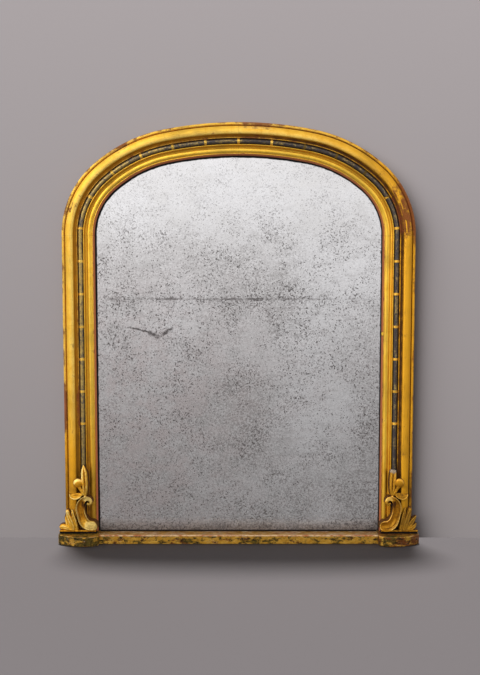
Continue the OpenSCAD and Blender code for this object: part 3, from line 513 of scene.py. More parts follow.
def gilding(name, tone=0.5, dirt_and_shade=1.0, wear=1.0, laps=True, dull=0.0, warmth=0.9, light=LEAF_LIGHT,
            shade=(0.62, 1.2), pale=(0.45, 1.1), extra_darkening=0.0):
    """Old water gilding: gold leaf over red bole, dirt and painted shade in the hollows, rubbed arrises with
    a painted highlight, a black sight edge.
    A negative bole value stands for bare gesso at a break."""
    f = Finish(name)
    hollow, arris, bole, black = f.age()
    x, _, z = f.split(f.place)
    cloud = f.noise(6.0)
    mottle = f.noise(52.0, 4.0, 0.6)
    speck = f.noise(420.0, 3.0, 0.6, shift=3.1)
    bright = (cloud * 0.6 + mottle * 0.4).step(0.36 - 0.2 * tone, 0.72 - 0.2 * tone)
    leaf = f.mix(bright, LEAF_DEEP, LEAF_GOLD)
    # Arrises take the paler leaf, rubbing and a painted highlight; hollows take the deeper, redder leaf,
    # painted shade.
    leaf = f.mix((arris + mottle * 0.5).step(*pale) * 0.9, leaf, light)
    leaf = f.mix(hollow.step(0.1, 0.7) * 0.85, leaf, LEAF_SHADE)
    if laps:
        run = f.run()
        along = f.split(run)[1] * (1 / LEAF_W) + f.noise(30.0, 2.0) * 0.09
        leaf = f.mix(f.math("PINGPONG", along, 0.5).step(0.485, 0.5) * 0.45, leaf, LEAF_DEEP)
        streak = f.noise(1.0, where=f.mapped(run, (900, 26, 1)))
    else:
        streak = f.noise(160.0)
    warm = highest(x.step(0.2, 0.5, 0.0, warmth), z.step(0.60, 0.15, 0.0, 0.85 * warmth))
    leaf = f.mix(warm, leaf, LEAF_WARM)

    # The hollows are darkened to brown, as dirt and as painted shade, more on one side than the other by the
    # shade pair; the last argument darkens all but the arrises evenly.
    hollow_darkening = (hollow * 0.75 + mottle * 0.35 + streak * 0.25).step(0.50, 1.15)
    darken = f.math("MULTIPLY", hollow_darkening, x.step(-0.3, 0.45, *shade) * dirt_and_shade, clamp=True)
    film = (cloud + streak * 0.5).step(0.68, 0.98, 0.0, 0.4)
    darken = highest(darken, film + arris.step(0.5, 0.1) * extra_darkening)
    worn = (mottle * 0.55 + speck * 0.25 + streak * 0.2 + arris * (0.17 * wear) + bole * 0.5
            + cloud * (0.12 * wear)).step(0.70, 0.84)
    chalk = bole.step(-0.3, -0.7)

    colour = f.mix(darken, leaf, DIRT_AND_SHADE_BROWN)
    red = f.mix(bole.step(0.5, 0.8), f.mix(speck.step(0.4, 0.7), BOLE_RED, DIRT_AND_SHADE_BROWN), SIGHT_RED)
    colour = f.mix(worn * 0.88, colour, red)
    gesso = f.mix((mottle * 0.4 + speck * 0.6).step(0.44, 0.56), GESSO, DIRT_AND_SHADE_BROWN)
    colour = f.mix(chalk * 0.75, colour, gesso)
    colour = f.mix(black, colour, SIGHT_BLACK)
    bare = highest(darken * 0.8, worn, black, chalk)
    f.bump(mottle * 0.5 + speck * 0.3 + streak * 0.35 + worn * -0.35, 0.0006)
    return f.surface(Base_Color=colour, Metallic=bare.step(0.0, 1.0, 0.92, 0.0), Specular_IOR_Level=0.2,
                     Roughness=bare * 0.26 + mottle * 0.22 + (0.27 + dull))


def rubbed_gilding(name, gold, red, edge):
    """The base's gilding, rubbed through in big patches to its dark and red grounds."""
    f = Finish(name)
    hollow, arris, bole, _ = f.age()
    patch = f.noise(52.0, 5.0, 0.72, (0.55, 1, 1))
    other = f.noise(30.0, 4.0, 0.68, (0.6, 1, 1), 5.0)
    grain = f.noise(170.0, 4.0, 0.65, (0.45, 1, 1), 1.7)
    speck = f.noise(520.0, 2.0)
    rubbed = (patch * 0.75 + grain * 0.30 + hollow * 0.12).step(0.42 + 0.20 * gold, 0.52 + 0.20 * gold)
    # Arrises take the paler edge colour: rubbed gold over the bole, and on the rail's top and the plinths'
    # top edges a painted highlight.
    pink = (arris * 0.85 + patch * 0.4 + grain * 0.25 + bole).step(0.72, 1.0)
    chip = (speck * 0.6 + other * 0.5).step(0.69, 0.73)

    reddened = other.step(0.60 - 0.22 * red, 0.72 - 0.22 * red)
    ground = f.mix(reddened, (0.115, 0.078, 0.012), (0.20, 0.060, 0.012))
    ground = f.mix(grain.step(0.42, 0.66), ground, (0.022, 0.014, 0.004))
    colour = f.mix(rubbed, f.mix(grain.step(0.3, 0.7), (0.50, 0.24, 0.022), (0.72, 0.42, 0.07)), ground)
    colour = f.mix(pink * 0.9, colour, f.mix(grain.step(0.38, 0.62), (0.46, 0.13, 0.05), edge))
    colour = f.mix(chip * 0.8, colour, GESSO)
    bare = highest(rubbed, pink, chip)
    f.bump(grain * 0.6 + speck * 0.25 + rubbed * -0.5, 0.0009, 0.6)
    return f.surface(Base_Color=colour, Metallic=bare.step(0, 1, 0.8, 0.05), Specular_IOR_Level=0.15,
                     Roughness=bare * 0.2 + grain * 0.25 + 0.3)


def bronzed(name):
    """The reed: dark bronze paint over gilding, which shows more on the left-hand stile."""
    f = Finish(name)
    hollow, arris, _, _ = f.age()
    streak = f.noise(1.0, 4.0, where=f.mapped(f.run(), (520, 60, 1)))
    patch = f.noise(26.0, 4.0, 0.6)
    fleck = f.noise(170.0, 3.0, 0.6)
    left = f.split(f.place)[0].step(0.10, -0.45)
    rubbed = arris * 0.10 + streak * 0.45 + patch * 0.40 + fleck * 0.35 + left * 0.12
    rubbed = rubbed.step(0.66, 0.86)
    bronze = f.mix(streak, (0.026, 0.020, 0.020), f.mix(left, (0.085, 0.066, 0.060), (0.13, 0.125, 0.14)))
    colour = f.mix(rubbed, bronze, f.mix(fleck, (0.34, 0.20, 0.05), (0.62, 0.47, 0.15)))
    # Where the reed lies in its channel it is painted near black: painted shade.
    colour = f.mix(hollow * 0.85, colour, (0.012, 0.008, 0.008))
    f.bump(streak * 0.7 + patch * 0.3, 0.0005)
    return f.surface(Base_Color=colour, Metallic=rubbed.step(0, 1, 0.25, 0.75),
                     Roughness=streak.step(0.3, 0.7, 0.30, 0.46))


# ---------------------------------------------------------------- the plate's silvering, in metres

SEAM_Z = 0.745
# Soft patches that are duller (or, below 0, clearer): x, z, half width, half height, amount
BLOTS = [(0.07, 0.78, 0.30, 0.17, 0.04), (0.0, 0.36, 0.20, 0.20, 0.08), (-0.36, 0.10, 0.20, 0.40, 0.07),
         (0.38, 0.08, 0.12, 0.16, 0.10), (0.24, 0.45, 0.18, 0.26, -0.09), (0.30, 0.78, 0.14, 0.20, -0.07)]
# Strokes of the V-shaped smudge: from x, z to x, z, and half the width
SMUDGE = [(-0.335, 0.660, -0.268, 0.644, 0.0046), (-0.275, 0.646, -0.240, 0.628, 0.0105),
          (-0.240, 0.630, -0.200, 0.658, 0.0060)]


def distance(dx, dz):
    return dx.tree.math("SQRT", dx * dx + dz * dz)


def sight_distance(f, x, z):
    """How far inside the sight line a point of the plate lies."""
    x = abs(x)
    away = SIGHT_X * MM - x
    for leg in ARCS:
        (cx, cz), r, start, _ = LEGS[leg]
        dx, dz = x - cx * MM, z - cz * MM
        here = (r - HALF_WIDTH + SIGHT_X) * MM - distance(dx, dz)
        past = f.math("GREATER_THAN", f.math("ARCTAN2", dz, dx), start)
        away = away + past * (here - away)
    return away


def blot(x, z, cx, cz, half_x, half_z):
    return distance((x - cx) / half_x, (z - cz) / half_z).step(1.2, 0.2)


def stroke(x, z, jitter, x0, z0, x1, z1, half):
    """A thin ragged line between two points."""
    run = math.hypot(x1 - x0, z1 - z0)
    ux, uz = (x1 - x0) / run, (z1 - z0) / run
    dx, dz = x - x0, z - z0
    along = dx * ux + dz * uz
    off = abs(dx * -uz + dz * ux + jitter)
    return off.step(half, 0.3 * half) * (along.step(-0.004, 0.006) * along.step(run + 0.006, run - 0.006))


def plate_marks(f, x, z, cluster, speck, scuff):
    """The ghost of a board's seam, the smudge, the foxing and the fine cracks."""
    jitter = (f.noise(90.0, 3.0, 0.6, shift=5.5) - 0.5) * 0.010
    seam = abs(z - SEAM_Z + jitter * 0.55)
    ghost = highest(seam.step(0.0052, 0.0012) * (cluster * 0.5 + scuff * 0.7).step(0.50, 0.72),
                    seam.step(0.020, 0.002) * (speck.step(0.50, 0.58) * 0.7))
    ghost = ghost * x.step(0.30, 0.12, 0.4, 1.0)
    smudge = highest(*(stroke(x, z, jitter, *line) for line in SMUDGE))
    smudge = smudge * f.noise(110.0).step(0.30, 0.55, 0.35, 1.0)
    fox = (speck * 0.9 + cluster * 0.34).step(0.700, 0.760) * z.step(1.12, 0.78, 0.34, 1.0)
    crack = abs(f.noise(42.0, 4.0, 0.6, shift=9.0) - 0.5).step(0.008, 0.002)
    crack = crack * f.noise(15.0, shift=3.3).step(0.54, 0.62)
    return highest(ghost * 0.72, smudge * 0.85, fox * 0.8, crack * 0.5)


def plate_edges(f, x, z, haze, cluster):
    """The black line along the frame and the foot, a painted shadow and reflection of the frame's dark edge,
    and the damp patch above the foot.
    """
    inside = sight_distance(f, x, z) + x.step(0.1, 0.4, 0.0, 0.0020)
    rim = (inside + f.noise(60.0) * 0.0035).step(0.0052, 0.0036)
    foot = z - RAIL_H * MM
    line = (foot + cluster * 0.002).step(0.0068, 0.0052)
    return highest(rim, line), (foot + haze * 0.03).step(0.075, 0.016)


def silvered(name):
    """The old plate: silvering that has gone cloudy and dark in specks, and a black, dull line painted along
    the frame as its shadow and reflection.
    """
    f = Finish(name)
    x, _, z = f.split(f.place)
    cloud = f.noise(3.2, 5.0, 0.62)
    haze = f.noise(19.0, 8.0, 0.76, (0.85, 1, 1.1))
    grain = f.noise(205.0, 3.0, 0.7)
    speck = f.noise(250.0, 2.0, 0.5, shift=2.3)
    cluster = f.noise(9.0, 6.0, 0.68, shift=7.1)
    scuff = f.noise(46.0, 5.0, 0.7, (0.4, 1, 1.3), 1.1)
    low = z.step(1.05, 0.45)
    calm = z.step(1.08, 0.78, 0.34, 1.0)
    blots = [blot(x, z, *place) * amount for *place, amount in BLOTS]
    dim = sum(blots[1:], blots[0])
    thick = (cluster * 0.60 + haze * 0.50 + low * 0.06 + dim).step(0.46, 0.74)
    peck = grain.step(0.47, 0.60) * calm * (thick * 0.85 + 0.15)
    edge, damp = plate_edges(f, x, z, haze, cluster)
    mark = highest(plate_marks(f, x, z, cluster, speck, scuff), edge)

    # The silver is darker towards the bottom and lighter towards the top.
    silver = f.mix((cloud * 0.5 + haze * 0.5 + dim * -1.2).step(0.36, 0.62),
                   f.mix(calm, (0.88, 0.87, 0.87), (0.66, 0.645, 0.645)), (0.88, 0.875, 0.89))
    silver = f.mix(grain.step(0.46, 0.34) * calm * 0.5, silver, (1.0, 1.0, 1.0))
    silver = f.mix(peck * (low * 0.1 + 0.62), silver, (0.15, 0.135, 0.13))
    silver = f.mix(scuff.step(0.50, 0.68) * (calm * 0.32), silver, (0.36, 0.345, 0.34))
    tint = low * x.step(0.25, -0.3, 0.30, 0.85) * haze.step(0.38, 0.62, 0.25, 1.0)
    silver = f.mix(tint, silver, (0.62, 0.555, 0.55))
    silver = f.mix(damp, silver, f.mix(grain.step(0.38, 0.62), (0.245, 0.225, 0.220), (0.095, 0.085, 0.083)))
    colour = f.mix(mark, silver, (0.055, 0.046, 0.046))
    colour = f.mix(edge, colour, (0.006, 0.006, 0.008))
    behind = f.split(f.value("ShaderNodeNewGeometry", (), "Normal"))[1].step(-0.3, 0.3)
    colour = f.mix(behind, colour, (0.11, 0.07, 0.055))
    dull = highest(mark, behind, damp)
    return f.surface(Base_Color=colour, Metallic=dull.step(0, 1, 1.0, 0.0), Specular_IOR_Level=0.15,
                     Roughness=haze * 0.16 + dull * 0.35 + 0.10)


# ---------------------------------------------------------------- pine, iron and brass

def pine(name, light, dark, along, age=0.5, saw=0.0):
    """Old pine with its grain along one axis (0 for x, 2 for z), darkened and dusty."""
    f = Finish(name)

    def drawn(lengthwise, across=1.0):
        return tuple(lengthwise if i == along else across for i in range(3))

    bend = f.noise(5.0, 2.0, stretch=drawn(0.06)) * 0.05
    warp = f.value("ShaderNodeCombineXYZ", {0: bend, 1: bend, 2: bend})
    warped = f.value("ShaderNodeVectorMath", {0: f.place, 1: warp}, operation="ADD")
    ring = f.noise(46.0, 4.0, 0.6, drawn(0.06), where=warped)
    fibre = f.noise(520.0, 3.0, 0.6, drawn(0.03))
    stain = f.noise(9.0, 4.0, 0.6, shift=4.0)
    knots = f.value("ShaderNodeTexVoronoi", {"Vector": f.mapped(f.place, drawn(3.0, 7.0)), "Scale": 1.0},
                    "Distance")
    wood = f.mix(ring.step(0.38, 0.66), light, dark)
    wood = f.mix(fibre.step(0.4, 0.7) * 0.35, wood, dark)
    wood = f.mix((knots + fibre * 0.05).step(0.085, 0.045) * 0.8, wood, tuple(c * 0.28 for c in dark))
    wood = f.mix(stain.step(0.42, 0.7) * age, wood, (0.055, 0.038, 0.026))
    height = ring * 0.4 + fibre * 0.6
    if saw:
        kerf = f.value("ShaderNodeTexWave", {
            "Vector": f.place, "Scale": 42.0, "Distortion": 3.0, "Detail": 2.0},
            "Fac", bands_direction="X" if along == 0 else "Z")
        height = height + kerf * saw
    f.bump(height, 0.0009, 0.6)
    return f.surface(Base_Color=wood, Roughness=ring.step(0.3, 0.7, 0.72, 0.88), Metallic=0.0)


def iron(name, rust, bright):
    f = Finish(name)
    patch = f.noise(190.0, 4.0, 0.65)
    pits = f.noise(900.0)
    rusty = (patch * 0.7 + pits * 0.3).step(0.62 - 0.3 * rust, 0.78 - 0.3 * rust)
    steel = (bright, bright * 0.96, bright * 0.92)
    colour = f.mix(rusty, steel, f.mix(pits, (0.055, 0.022, 0.012), (0.19, 0.075, 0.03)))
    f.bump(patch + pits * 0.5, 0.0003)
    return f.surface(Base_Color=colour, Metallic=rusty.step(0, 1, 0.95, 0.1),
                     Roughness=rusty.step(0, 1, 0.36, 0.82))


def tarnished_brass(name):
    f = Finish(name)
    patch = f.noise(120.0, 4.0, 0.6)
    brush = f.noise(600.0, 2.0, stretch=(1, 1, 0.05))
    dull = (patch * 0.8 + brush * 0.2).step(0.42, 0.68)
    colour = f.mix(dull, (0.62, 0.42, 0.14), (0.19, 0.115, 0.045))
    f.bump(patch + brush, 0.0002)
    return f.surface(Base_Color=colour, Metallic=0.95, Roughness=dull.step(0, 1, 0.32, 0.58))


CARVED = dict(wear=0.5, laps=False, dull=0.22, light=LEAF_PALE)
FINISHES = {
    "moulding": gilding("old_gilding", dirt_and_shade=1.1, dull=0.20, shade=(0.62, 1.9)),
    "slip": gilding("old_gilding_slip", tone=0.75, warmth=0.12, shade=(1.4, 0.5)),
    # The right-hand ornament's leaf is deeper and darker all over than the left's.
    "ornament_left": gilding("old_gilding_ornament_left", tone=0.15, dirt_and_shade=2.3, warmth=0.3,
                             pale=(0.38, 0.85), extra_darkening=0.10, **CARVED),
    "ornament_right": gilding("old_gilding_ornament_right", tone=-0.25, dirt_and_shade=1.55, warmth=0.6,
                              pale=(0.42, 0.95), extra_darkening=0.36, **CARVED),
    "ties": gilding("old_gilding_ties", dirt_and_shade=1.2, wear=0.5, laps=False, dull=0.15, warmth=0.5),
    "rail": rubbed_gilding("rubbed_gilding_rail", 0.37, 0.6, (0.84, 0.62, 0.36)),
    "plinth_left": rubbed_gilding("rubbed_gilding_plinth_left", 0.08, 0.15, (0.78, 0.58, 0.24)),
    "plinth_right": rubbed_gilding("rubbed_gilding_plinth_right", 0.02, 0.8, (0.78, 0.58, 0.24)),
    "reed": bronzed("bronzed_reed"),
    "glass": silvered("silvered_plate"),
    "upright": pine("pine_upright", (0.50, 0.31, 0.15), (0.33, 0.18, 0.075), 2, 0.55, 0.2),
    "level": pine("pine_level", (0.52, 0.33, 0.16), (0.34, 0.19, 0.08), 0, 0.55, 0.2),
    "board": pine("pine_board", (0.33, 0.20, 0.10), (0.18, 0.10, 0.045), 0, 0.75, 0.35),
    "block": pine("pine_block", (0.58, 0.39, 0.2), (0.42, 0.25, 0.11), 2, 0.35),
    "nail": iron("rusty_nail", 0.9, 0.12),
    "screw": iron("dull_screw", 0.45, 0.26),
    "ring": iron("steel_ring", 0.25, 0.36),
    "brass": tarnished_brass("tarnished_brass"),
}


# ---------------------------------------------------------------- mouldings, slips and reeds

def straight_length(name, section, steps, share_cut, run_start, run_length):
    """A closed straight length of a section: x is u, y is d, z is the share of the run."""
    shares = np.linspace(share_cut, 1 - share_cut, steps + 1)
    me = tube(name, [[(u * MM, d * MM, s) for u, d in section.points] for s in shares])
    put_age(me, np.tile(np.array(section.age), (len(shares), 1)))
    gaps = np.linalg.norm(np.diff(np.array(section.points), axis=0), axis=1)
    across = np.concatenate([[0], np.cumsum(gaps)]) * MM
    ids = rows_of(me.loops, "vertex_index", 1, np.int64)[:, 0]
    step, spot = np.divmod(ids, len(across))
    uv = np.column_stack([across[spot], shares[step] * run_length + run_start])
    me.uv_layers.new(name="run").data.foreach_set("uv", uv.ravel())
    return new_object(name, me)


def worn_places(me, places, darkening_share):
    """Darkens the gilding towards the base and round the corner ornaments, as grime and as painted shade, and
    adds the rubbed or blackened patches.
    """
    x, y, z = points_of(me).T / MM
    d = WALL_Y - y
    age = get_age(me)
    left, right = (np.clip((top - z) / reach, 0, most) for top, reach, most in (LEFT_SHADE_AND_GRIME, RIGHT_SHADE_AND_GRIME))
    extra_darkening = np.where(x < 0, left, right) * darkening_share
    age[:, 0] += 0.46 * extra_darkening
    age[:, 1] *= 1 - 0.5 * extra_darkening
    for px, pz, r, low_d, high_d, *rubs in places:
        near = np.clip(1 - np.hypot(x - px, z - pz) / r, 0, 1) ** 0.7 * ((d > low_d) & (d < high_d))
        age[:, 1:] += near[:, None] * np.array(rubs)
    put_age(me, age)


# The darkening towards the base and round the corner ornaments, grime and painted shade: its top and how far
# it takes to grow full in mm, and its most
LEFT_SHADE_AND_GRIME, RIGHT_SHADE_AND_GRIME = (400, 150, 1.5), (300, 120, 1.0)
# Where the photograph shows the gilding rubbed through or gone black: x, z, radius, lowest and highest d
# in mm, then what is added to arris, bole and black
MOULDING_WEAR = [
    (512, 985, 66, 30, 62, 0.6, 0.42, 0), (494, 1066, 56, 30, 62, 0.3, 0.36, 0),
    (380, 1215, 120, 27, 45, 0.2, 0.1, 0.5), (250, 1258, 110, 27, 45, 0.2, 0.1, 0.35),
    (-350, 1200, 60, 30, 60, 0.25, 0.18, 0), (-505, 1010, 50, 30, 60, 0.25, 0.18, 0),
    (530, 650, 430, 27, 42, 0.0, 0.36, 0), (-522, 420, 90, 27, 50, 0.3, 0.5, 0),
    (60, 1262, 70, 30, 60, 0.4, 0.3, 0), (526, 760, 60, 27, 44, 0.2, 0.25, 0.2)]
SLIP_WEAR = [
    (0, 1155, 640, 27, 35, 0, 0, 0.7), (50, 1160, 12, 27, 37, 0.6, 0.4, 0.8),
    (361, 1066, 14, 27, 37, 0.5, 0.4, 0.8), (-300, 1108, 16, 27, 60, 0.4, 0.3, 0),
    (433, 640, 9, 27, 37, 0.3, -0.9, 0)]
JOINT_GAP_MM, SHARP_ANGLE = 0.22, 38
WAVER_SCALE = 11.0
LEFT_RUN_SHIFT = 0.031


def run_values(leg):
    """The run's length along a leg's outer edge in mm, and the sweep tree's inputs for that leg."""
    (cx, cz), r, start, end = LEGS[leg]
    rise = STILE_H if leg == "stile" else 0.0
    return rise + r * (end - start), dict(
        Centre_X=cx * MM, Centre_Z=cz * MM, Radius=r * MM, Start_Angle=start, Sweep_Angle=end - start,
        Rise=rise * MM)


def sweep_all(kind, section, step_mm, waver, places=(), darkening_share=0.4):
    """Sweeps a section along all eight legs. The leaf laps and streaks run on from leg to leg."""
    run_start = 0.0
    for leg in LEGS:
        length, values = run_values(leg)
        for side_name, side in SIDES:
            name = f"{kind}_{leg}_{side_name}"
            strip = straight_length(name + "_strip", section, max(8, round(length / step_mm)),
                                    JOINT_GAP_MM / length,
                                    run_start * MM + (LEFT_RUN_SHIFT if side < 0 else 0), length * MM)
            piece = SWEEP.apply(strip, "worn_" + name, kind, Side=float(side), Wall_Y=WALL_Y * MM,
                                Waver=waver, Waver_Scale=WAVER_SCALE, **values)
            worn_places(piece.data, places, darkening_share)
            hand_over(piece, name, SHARP_ANGLE)
        run_start += length


SWEEP = sweep_tree()
sweep_all("moulding", moulding_section(), 3.2, 0.0007, MOULDING_WEAR, 1.0)
sweep_all("slip", slip_section(), 3.6, 0.0005, SLIP_WEAR)
sweep_all("reed", reed_section(), 4.0, 0.0007)


# ---------------------------------------------------------------- ties along the reed

LINE_STEP_MM = 2.0
TIE_WIDEN, TIE_CORDS, TIE_ROWS, TIE_STEPS = 1.5, 3, 16, 26
TIE_AGE = (0.15, 0.5, 0.0, 0.0)
# Right of the crown the photograph shows no gilt on the ties
BARE_FROM_X, BARE_FROM_Z, BARE_BLACK = 190, 1050, 0.8


def reed_line(length):
    """Points down the right-hand reed's middle line from the crown, [x, z] in mm, over a given length,
    and the length of its arch."""
    out, gone = [], 0.0
    for leg in reversed(ARCS):
        (cx, cz), r, start, end = LEGS[leg]
        r -= REED_U
        n = round(r * (end - start) / LINE_STEP_MM)
        for i in range(n):
            a = end + (start - end) * i / n
            out.append((cx + r * math.cos(a), cz + r * math.sin(a)))
        gone += r * (end - start)
    foot = SPRING_Z + gone - length
    return out + [(HALF_WIDTH - REED_U, SPRING_Z), (HALF_WIDTH - REED_U, foot)], gone


def without_start(line, length):
    """What is left of a line when its first length is cut off."""
    gone = 0.0
    for i, (p, q) in enumerate(zip(line, line[1:])):
        step = math.dist(p, q)
        if gone + step > length:
            t = (length - gone) / step
            return [tuple(a + (b - a) * t for a, b in zip(p, q))] + line[i + 1:]
        gone += step


def tie_mesh():
    """A gilt tie: three cords side by side, laid over the reed."""
    r, width = REED_R + 0.1, TIE_W * TIE_WIDEN
    flat = math.asin(REED_LIFT / (r + TIE_T))
    profile = []
    for k in range(TIE_ROWS + 1):
        t = k / TIE_ROWS
        cord = 0.55 + 0.45 * abs(math.sin(TIE_CORDS * math.pi * t)) ** 0.6 if 0 < k < TIE_ROWS else 0.2
        profile.append(((t - 0.5) * width, r + TIE_T * cord))
    profile += [(width / 2, r), (-width / 2, r)]
    rings = []
    for a in np.linspace(math.pi + flat, -flat, TIE_STEPS + 1):
        rings.append([(q * math.cos(a) * MM, -q * math.sin(a) * MM, z * MM) for z, q in profile])
    me = tube("tie", rings)
    put_age(me, np.tile(TIE_AGE, (len(me.vertices), 1)))
    return me


def line_object(points, side):
    """The reed's middle line as a curve."""
    curve = bpy.data.curves.new("reed_line", "CURVE")
    curve.dimensions = "3D"
    spline = curve.splines.new("POLY")
    spline.points.add(len(points) - 1)
    for point, (x, z) in zip(spline.points, points):
        point.co = (side * x * MM, (WALL_Y - REED_D) * MM, z * MM, 1)
    return new_object("reed_line", curve)


def reed_ties():
    """The ties of both sides. The one at the crown belongs to the right-hand run."""
    tie = new_object("tie_model", tie_mesh())
    tree = ties_tree()
    arch = reed_line(0)[1]
    count = int((arch + SPRING_Z - LOWEST_TIE_Z) // TIE_PITCH)
    line = reed_line(count * TIE_PITCH)[0]
    runs = (without_start(line, TIE_PITCH), count), (line, count + 1)
    halves = [tree.apply(line_object(points, side), f"gilt_ties_{side_name}", "ties", Tie=tie, Count=ties)
              for (side_name, side), (points, ties) in zip(SIDES, runs)]
    bpy.data.objects.remove(tie)
    for piece in halves:
        age, p = get_age(piece.data), points_of(piece.data) / MM
        age[:, 3] = BARE_BLACK * ((p[:, 0] > BARE_FROM_X) & (p[:, 2] > BARE_FROM_Z))
        put_age(piece.data, age)
        hand_over(piece, "reed_ties", SHARP_ANGLE)


reed_ties()


# ---------------------------------------------------------------- the forms of the corner ornaments

# x runs from the sight line outwards, z up from the plinth, and the front is a depth from the wall, in mm
D = ORNAMENT_D
SLAB_T, FOOT_H, SLAB_EASE = 5.0, 6.5, 1.4
SLAB_FRONT, FOOT_FRONT = D - 9, D - 14

# Sections from the outer or upper edge across: [across, share of the front when plain, when carved]
SCROLL_BAND = [
    [1, 0.62, 0.8], [0.97, 0.72, 0.96], [0.9, 0.82, 1], [0.8, 0.88, 0.95], [0.62, 0.94, 0.8],
    [0.3, 0.99, 0.7], [-0.05, 1, 0.68], [-0.4, 0.97, 0.72], [-0.7, 0.9, 0.84], [-0.84, 0.82, 0.97],
    [-0.93, 0.74, 0.98], [-1, 0.6, 0.8]]
SHELL = [
    [1, 0.5, 0.54], [0.8, 0.64, 0.6], [0.45, 0.82, 0.62], [0.05, 0.94, 0.66], [-0.35, 0.98, 0.78],
    [-0.62, 0.92, 0.93], [-0.8, 0.82, 1], [-0.93, 0.68, 0.94], [-1, 0.5, 0.7]]
LEAF_BLADE = [
    [1, 0.64, 0.76], [0.86, 0.82, 0.91], [0.5, 0.94, 1], [0.16, 0.98, 0.94], [0, 0.98, 0.84],
    [-0.16, 0.98, 0.94], [-0.5, 0.94, 1], [-0.86, 0.82, 0.91], [-1, 0.64, 0.76]]
LOBE_RIB = [
    [1, 0.5, 0.45], [0.85, 0.76, 0.74], [0.5, 0.94, 0.97], [0.15, 1, 0.96], [-0.15, 1, 0.94],
    [-0.5, 0.94, 0.96], [-0.85, 0.76, 0.74], [-1, 0.5, 0.45]]


def blend_row(p, q, r, s, t):
    return 0.5 * (2 * q + (r - p) * t + (2 * p - 5 * q + 4 * r - s) * t * t
                  + (3 * q - p - 3 * r + s) * t ** 3)


def smooth_rows(rows, steps):
    """More rows between the given ones, on a smooth curve through them."""
    rows = np.array(rows, float)
    n = len(rows) - 1
    out = [blend_row(rows[max(k - 1, 0)], rows[k], rows[min(k + 1, n)], rows[min(k + 2, n)], i / steps)
           for k in range(n) for i in range(steps)]
    return np.array(out + [rows[-1]])


def ribbon(bm, stations, section, back, carve=None, steps=14):
    """A ribbon through [x, z, half width, front, carving], as in the source, with finer steps.
    carve(share along, across) gives a further cut into the front, in mm."""
    line = smooth_rows(stations, steps)
    across = smooth_rows(section, 5)
    last = len(line) - 1
    rings = []
    for i, s in enumerate(line):
        ahead = line[min(i + 1, last), :2] - line[max(i - 1, 0), :2]
        side = np.array([-ahead[1], ahead[0]]) / np.linalg.norm(ahead) * s[2]
        front = back + (s[3] - back) * (across[:, 1] + (across[:, 2] - across[:, 1]) * s[4])
        if carve:
            front = front - np.array([carve(i / last, a) for a in across[:, 0]])
        ring = list(zip(s[0] + side[0] * across[:, 0], front, s[1] + side[1] * across[:, 0]))
        ring += [(s[0] - side[0], back, s[1] - side[1]), (s[0] + side[0], back, s[1] + side[1])]
        rings.append([bm.verts.new((x, -d, z)) for x, d, z in ring])
    m = len(rings[0])
    for near, far in zip(rings, rings[1:]):
        for i in range(m):
            k = (i + 1) % m
            bm.faces.new((near[i], near[k], far[k], far[i]))
    bm.faces.new(rings[0][::-1])
    bm.faces.new(rings[-1])


def bead(bm, x, z, r, depth, fineness=2, flat=1.0):
    """A ball, or one flattened from front to back. The depth is its centre's."""
    for v in bmesh.ops.create_icosphere(bm, subdivisions=fineness, radius=r)["verts"]:
        v.co = Vector((v.co.x + x, v.co.y * flat - depth, v.co.z + z))


def roll(bm, beads, fine=7):
    """A tapering roll through beads of [x, z, radius, depth of the centre]."""
    for p, q in zip(beads, beads[1:]):
        for i in range(fine + 1):
            bead(bm, *[a + (b - a) * i / fine for a, b in zip(p, q)])


def block(bm, x0, x1, d0, d1, z0, z1):
    verts = bmesh.ops.create_cube(bm, size=1)["verts"]
    for v in verts:
        v.co = Vector((x0 if v.co.x < 0 else x1, -(d0 if v.co.y > 0 else d1), z0 if v.co.z < 0 else z1))
    return verts


def slab(bm, from_x, to_x):
    """The slab that an ornament stands on, with eased edges, over a foot that is set back."""
    back = BACK_D + BEAD_RISE
    block(bm, from_x, to_x, back, FOOT_FRONT, 0, FOOT_H + 1)
    top = block(bm, from_x, to_x, back, SLAB_FRONT, FOOT_H, FOOT_H + SLAB_T)
    edges = list({e for v in top for e in v.link_edges})
    bmesh.ops.bevel(bm, geom=edges, offset=SLAB_EASE, segments=3, profile=0.5, affect="EDGES")


def scroll_form(bm, side):
    def tooling(along, across):
        return 0.5 * max(0, math.sin(across * 11 + 1)) * (0.34 < along < 0.86) if abs(across) < 0.6 else 0

    foot = 0.3 if side < 0 else 1
    ribbon(bm, [
        [33, 94.5, 3.2, D - 8, 0.2], [26, 91, 4.6, D - 7, 0.2], [20.6, 98, 5.8, D - 5, 0.2],
        [25, 106.4, 6.6, D - 4, 0.3], [34.5, 109, 7.2, D - 3.4, 0.4], [44.5, 104, 9, D - 2.8, 0.7],
        [51.5, 93.5, 11, D - 2.2, 0.95], [52.6, 79, 13.4, D - 1.6, 1], [50, 64, 13.4, D - 1, 1],
        [46, 50, 14.4, D - 0.6, 1], [40, 36.8, 15.8, D, (1 + foot) / 2], [30.5, 27.8, 16.6, D, foot],
        [20.5, 24.8, 16.6, D, foot], [12.5, 25, 15.8, D - 0.4, 0.9 * foot],
        [6.5, 25.8, 13, D - 1.2, 0.6 * foot], [2.8, 26.6, 8, D - 4, 0.2], [1.4, 27, 3, D - 8, 0]],
        SCROLL_BAND, BACK_D + 4, tooling, 8)
    bead(bm, 28, 98.6, 8, D - 26, 4)
    roll(bm, [[38.6, 110, 5, D - 15], [38.4, 114.5, 5, D - 14]])
    slab(bm, 5, 57)


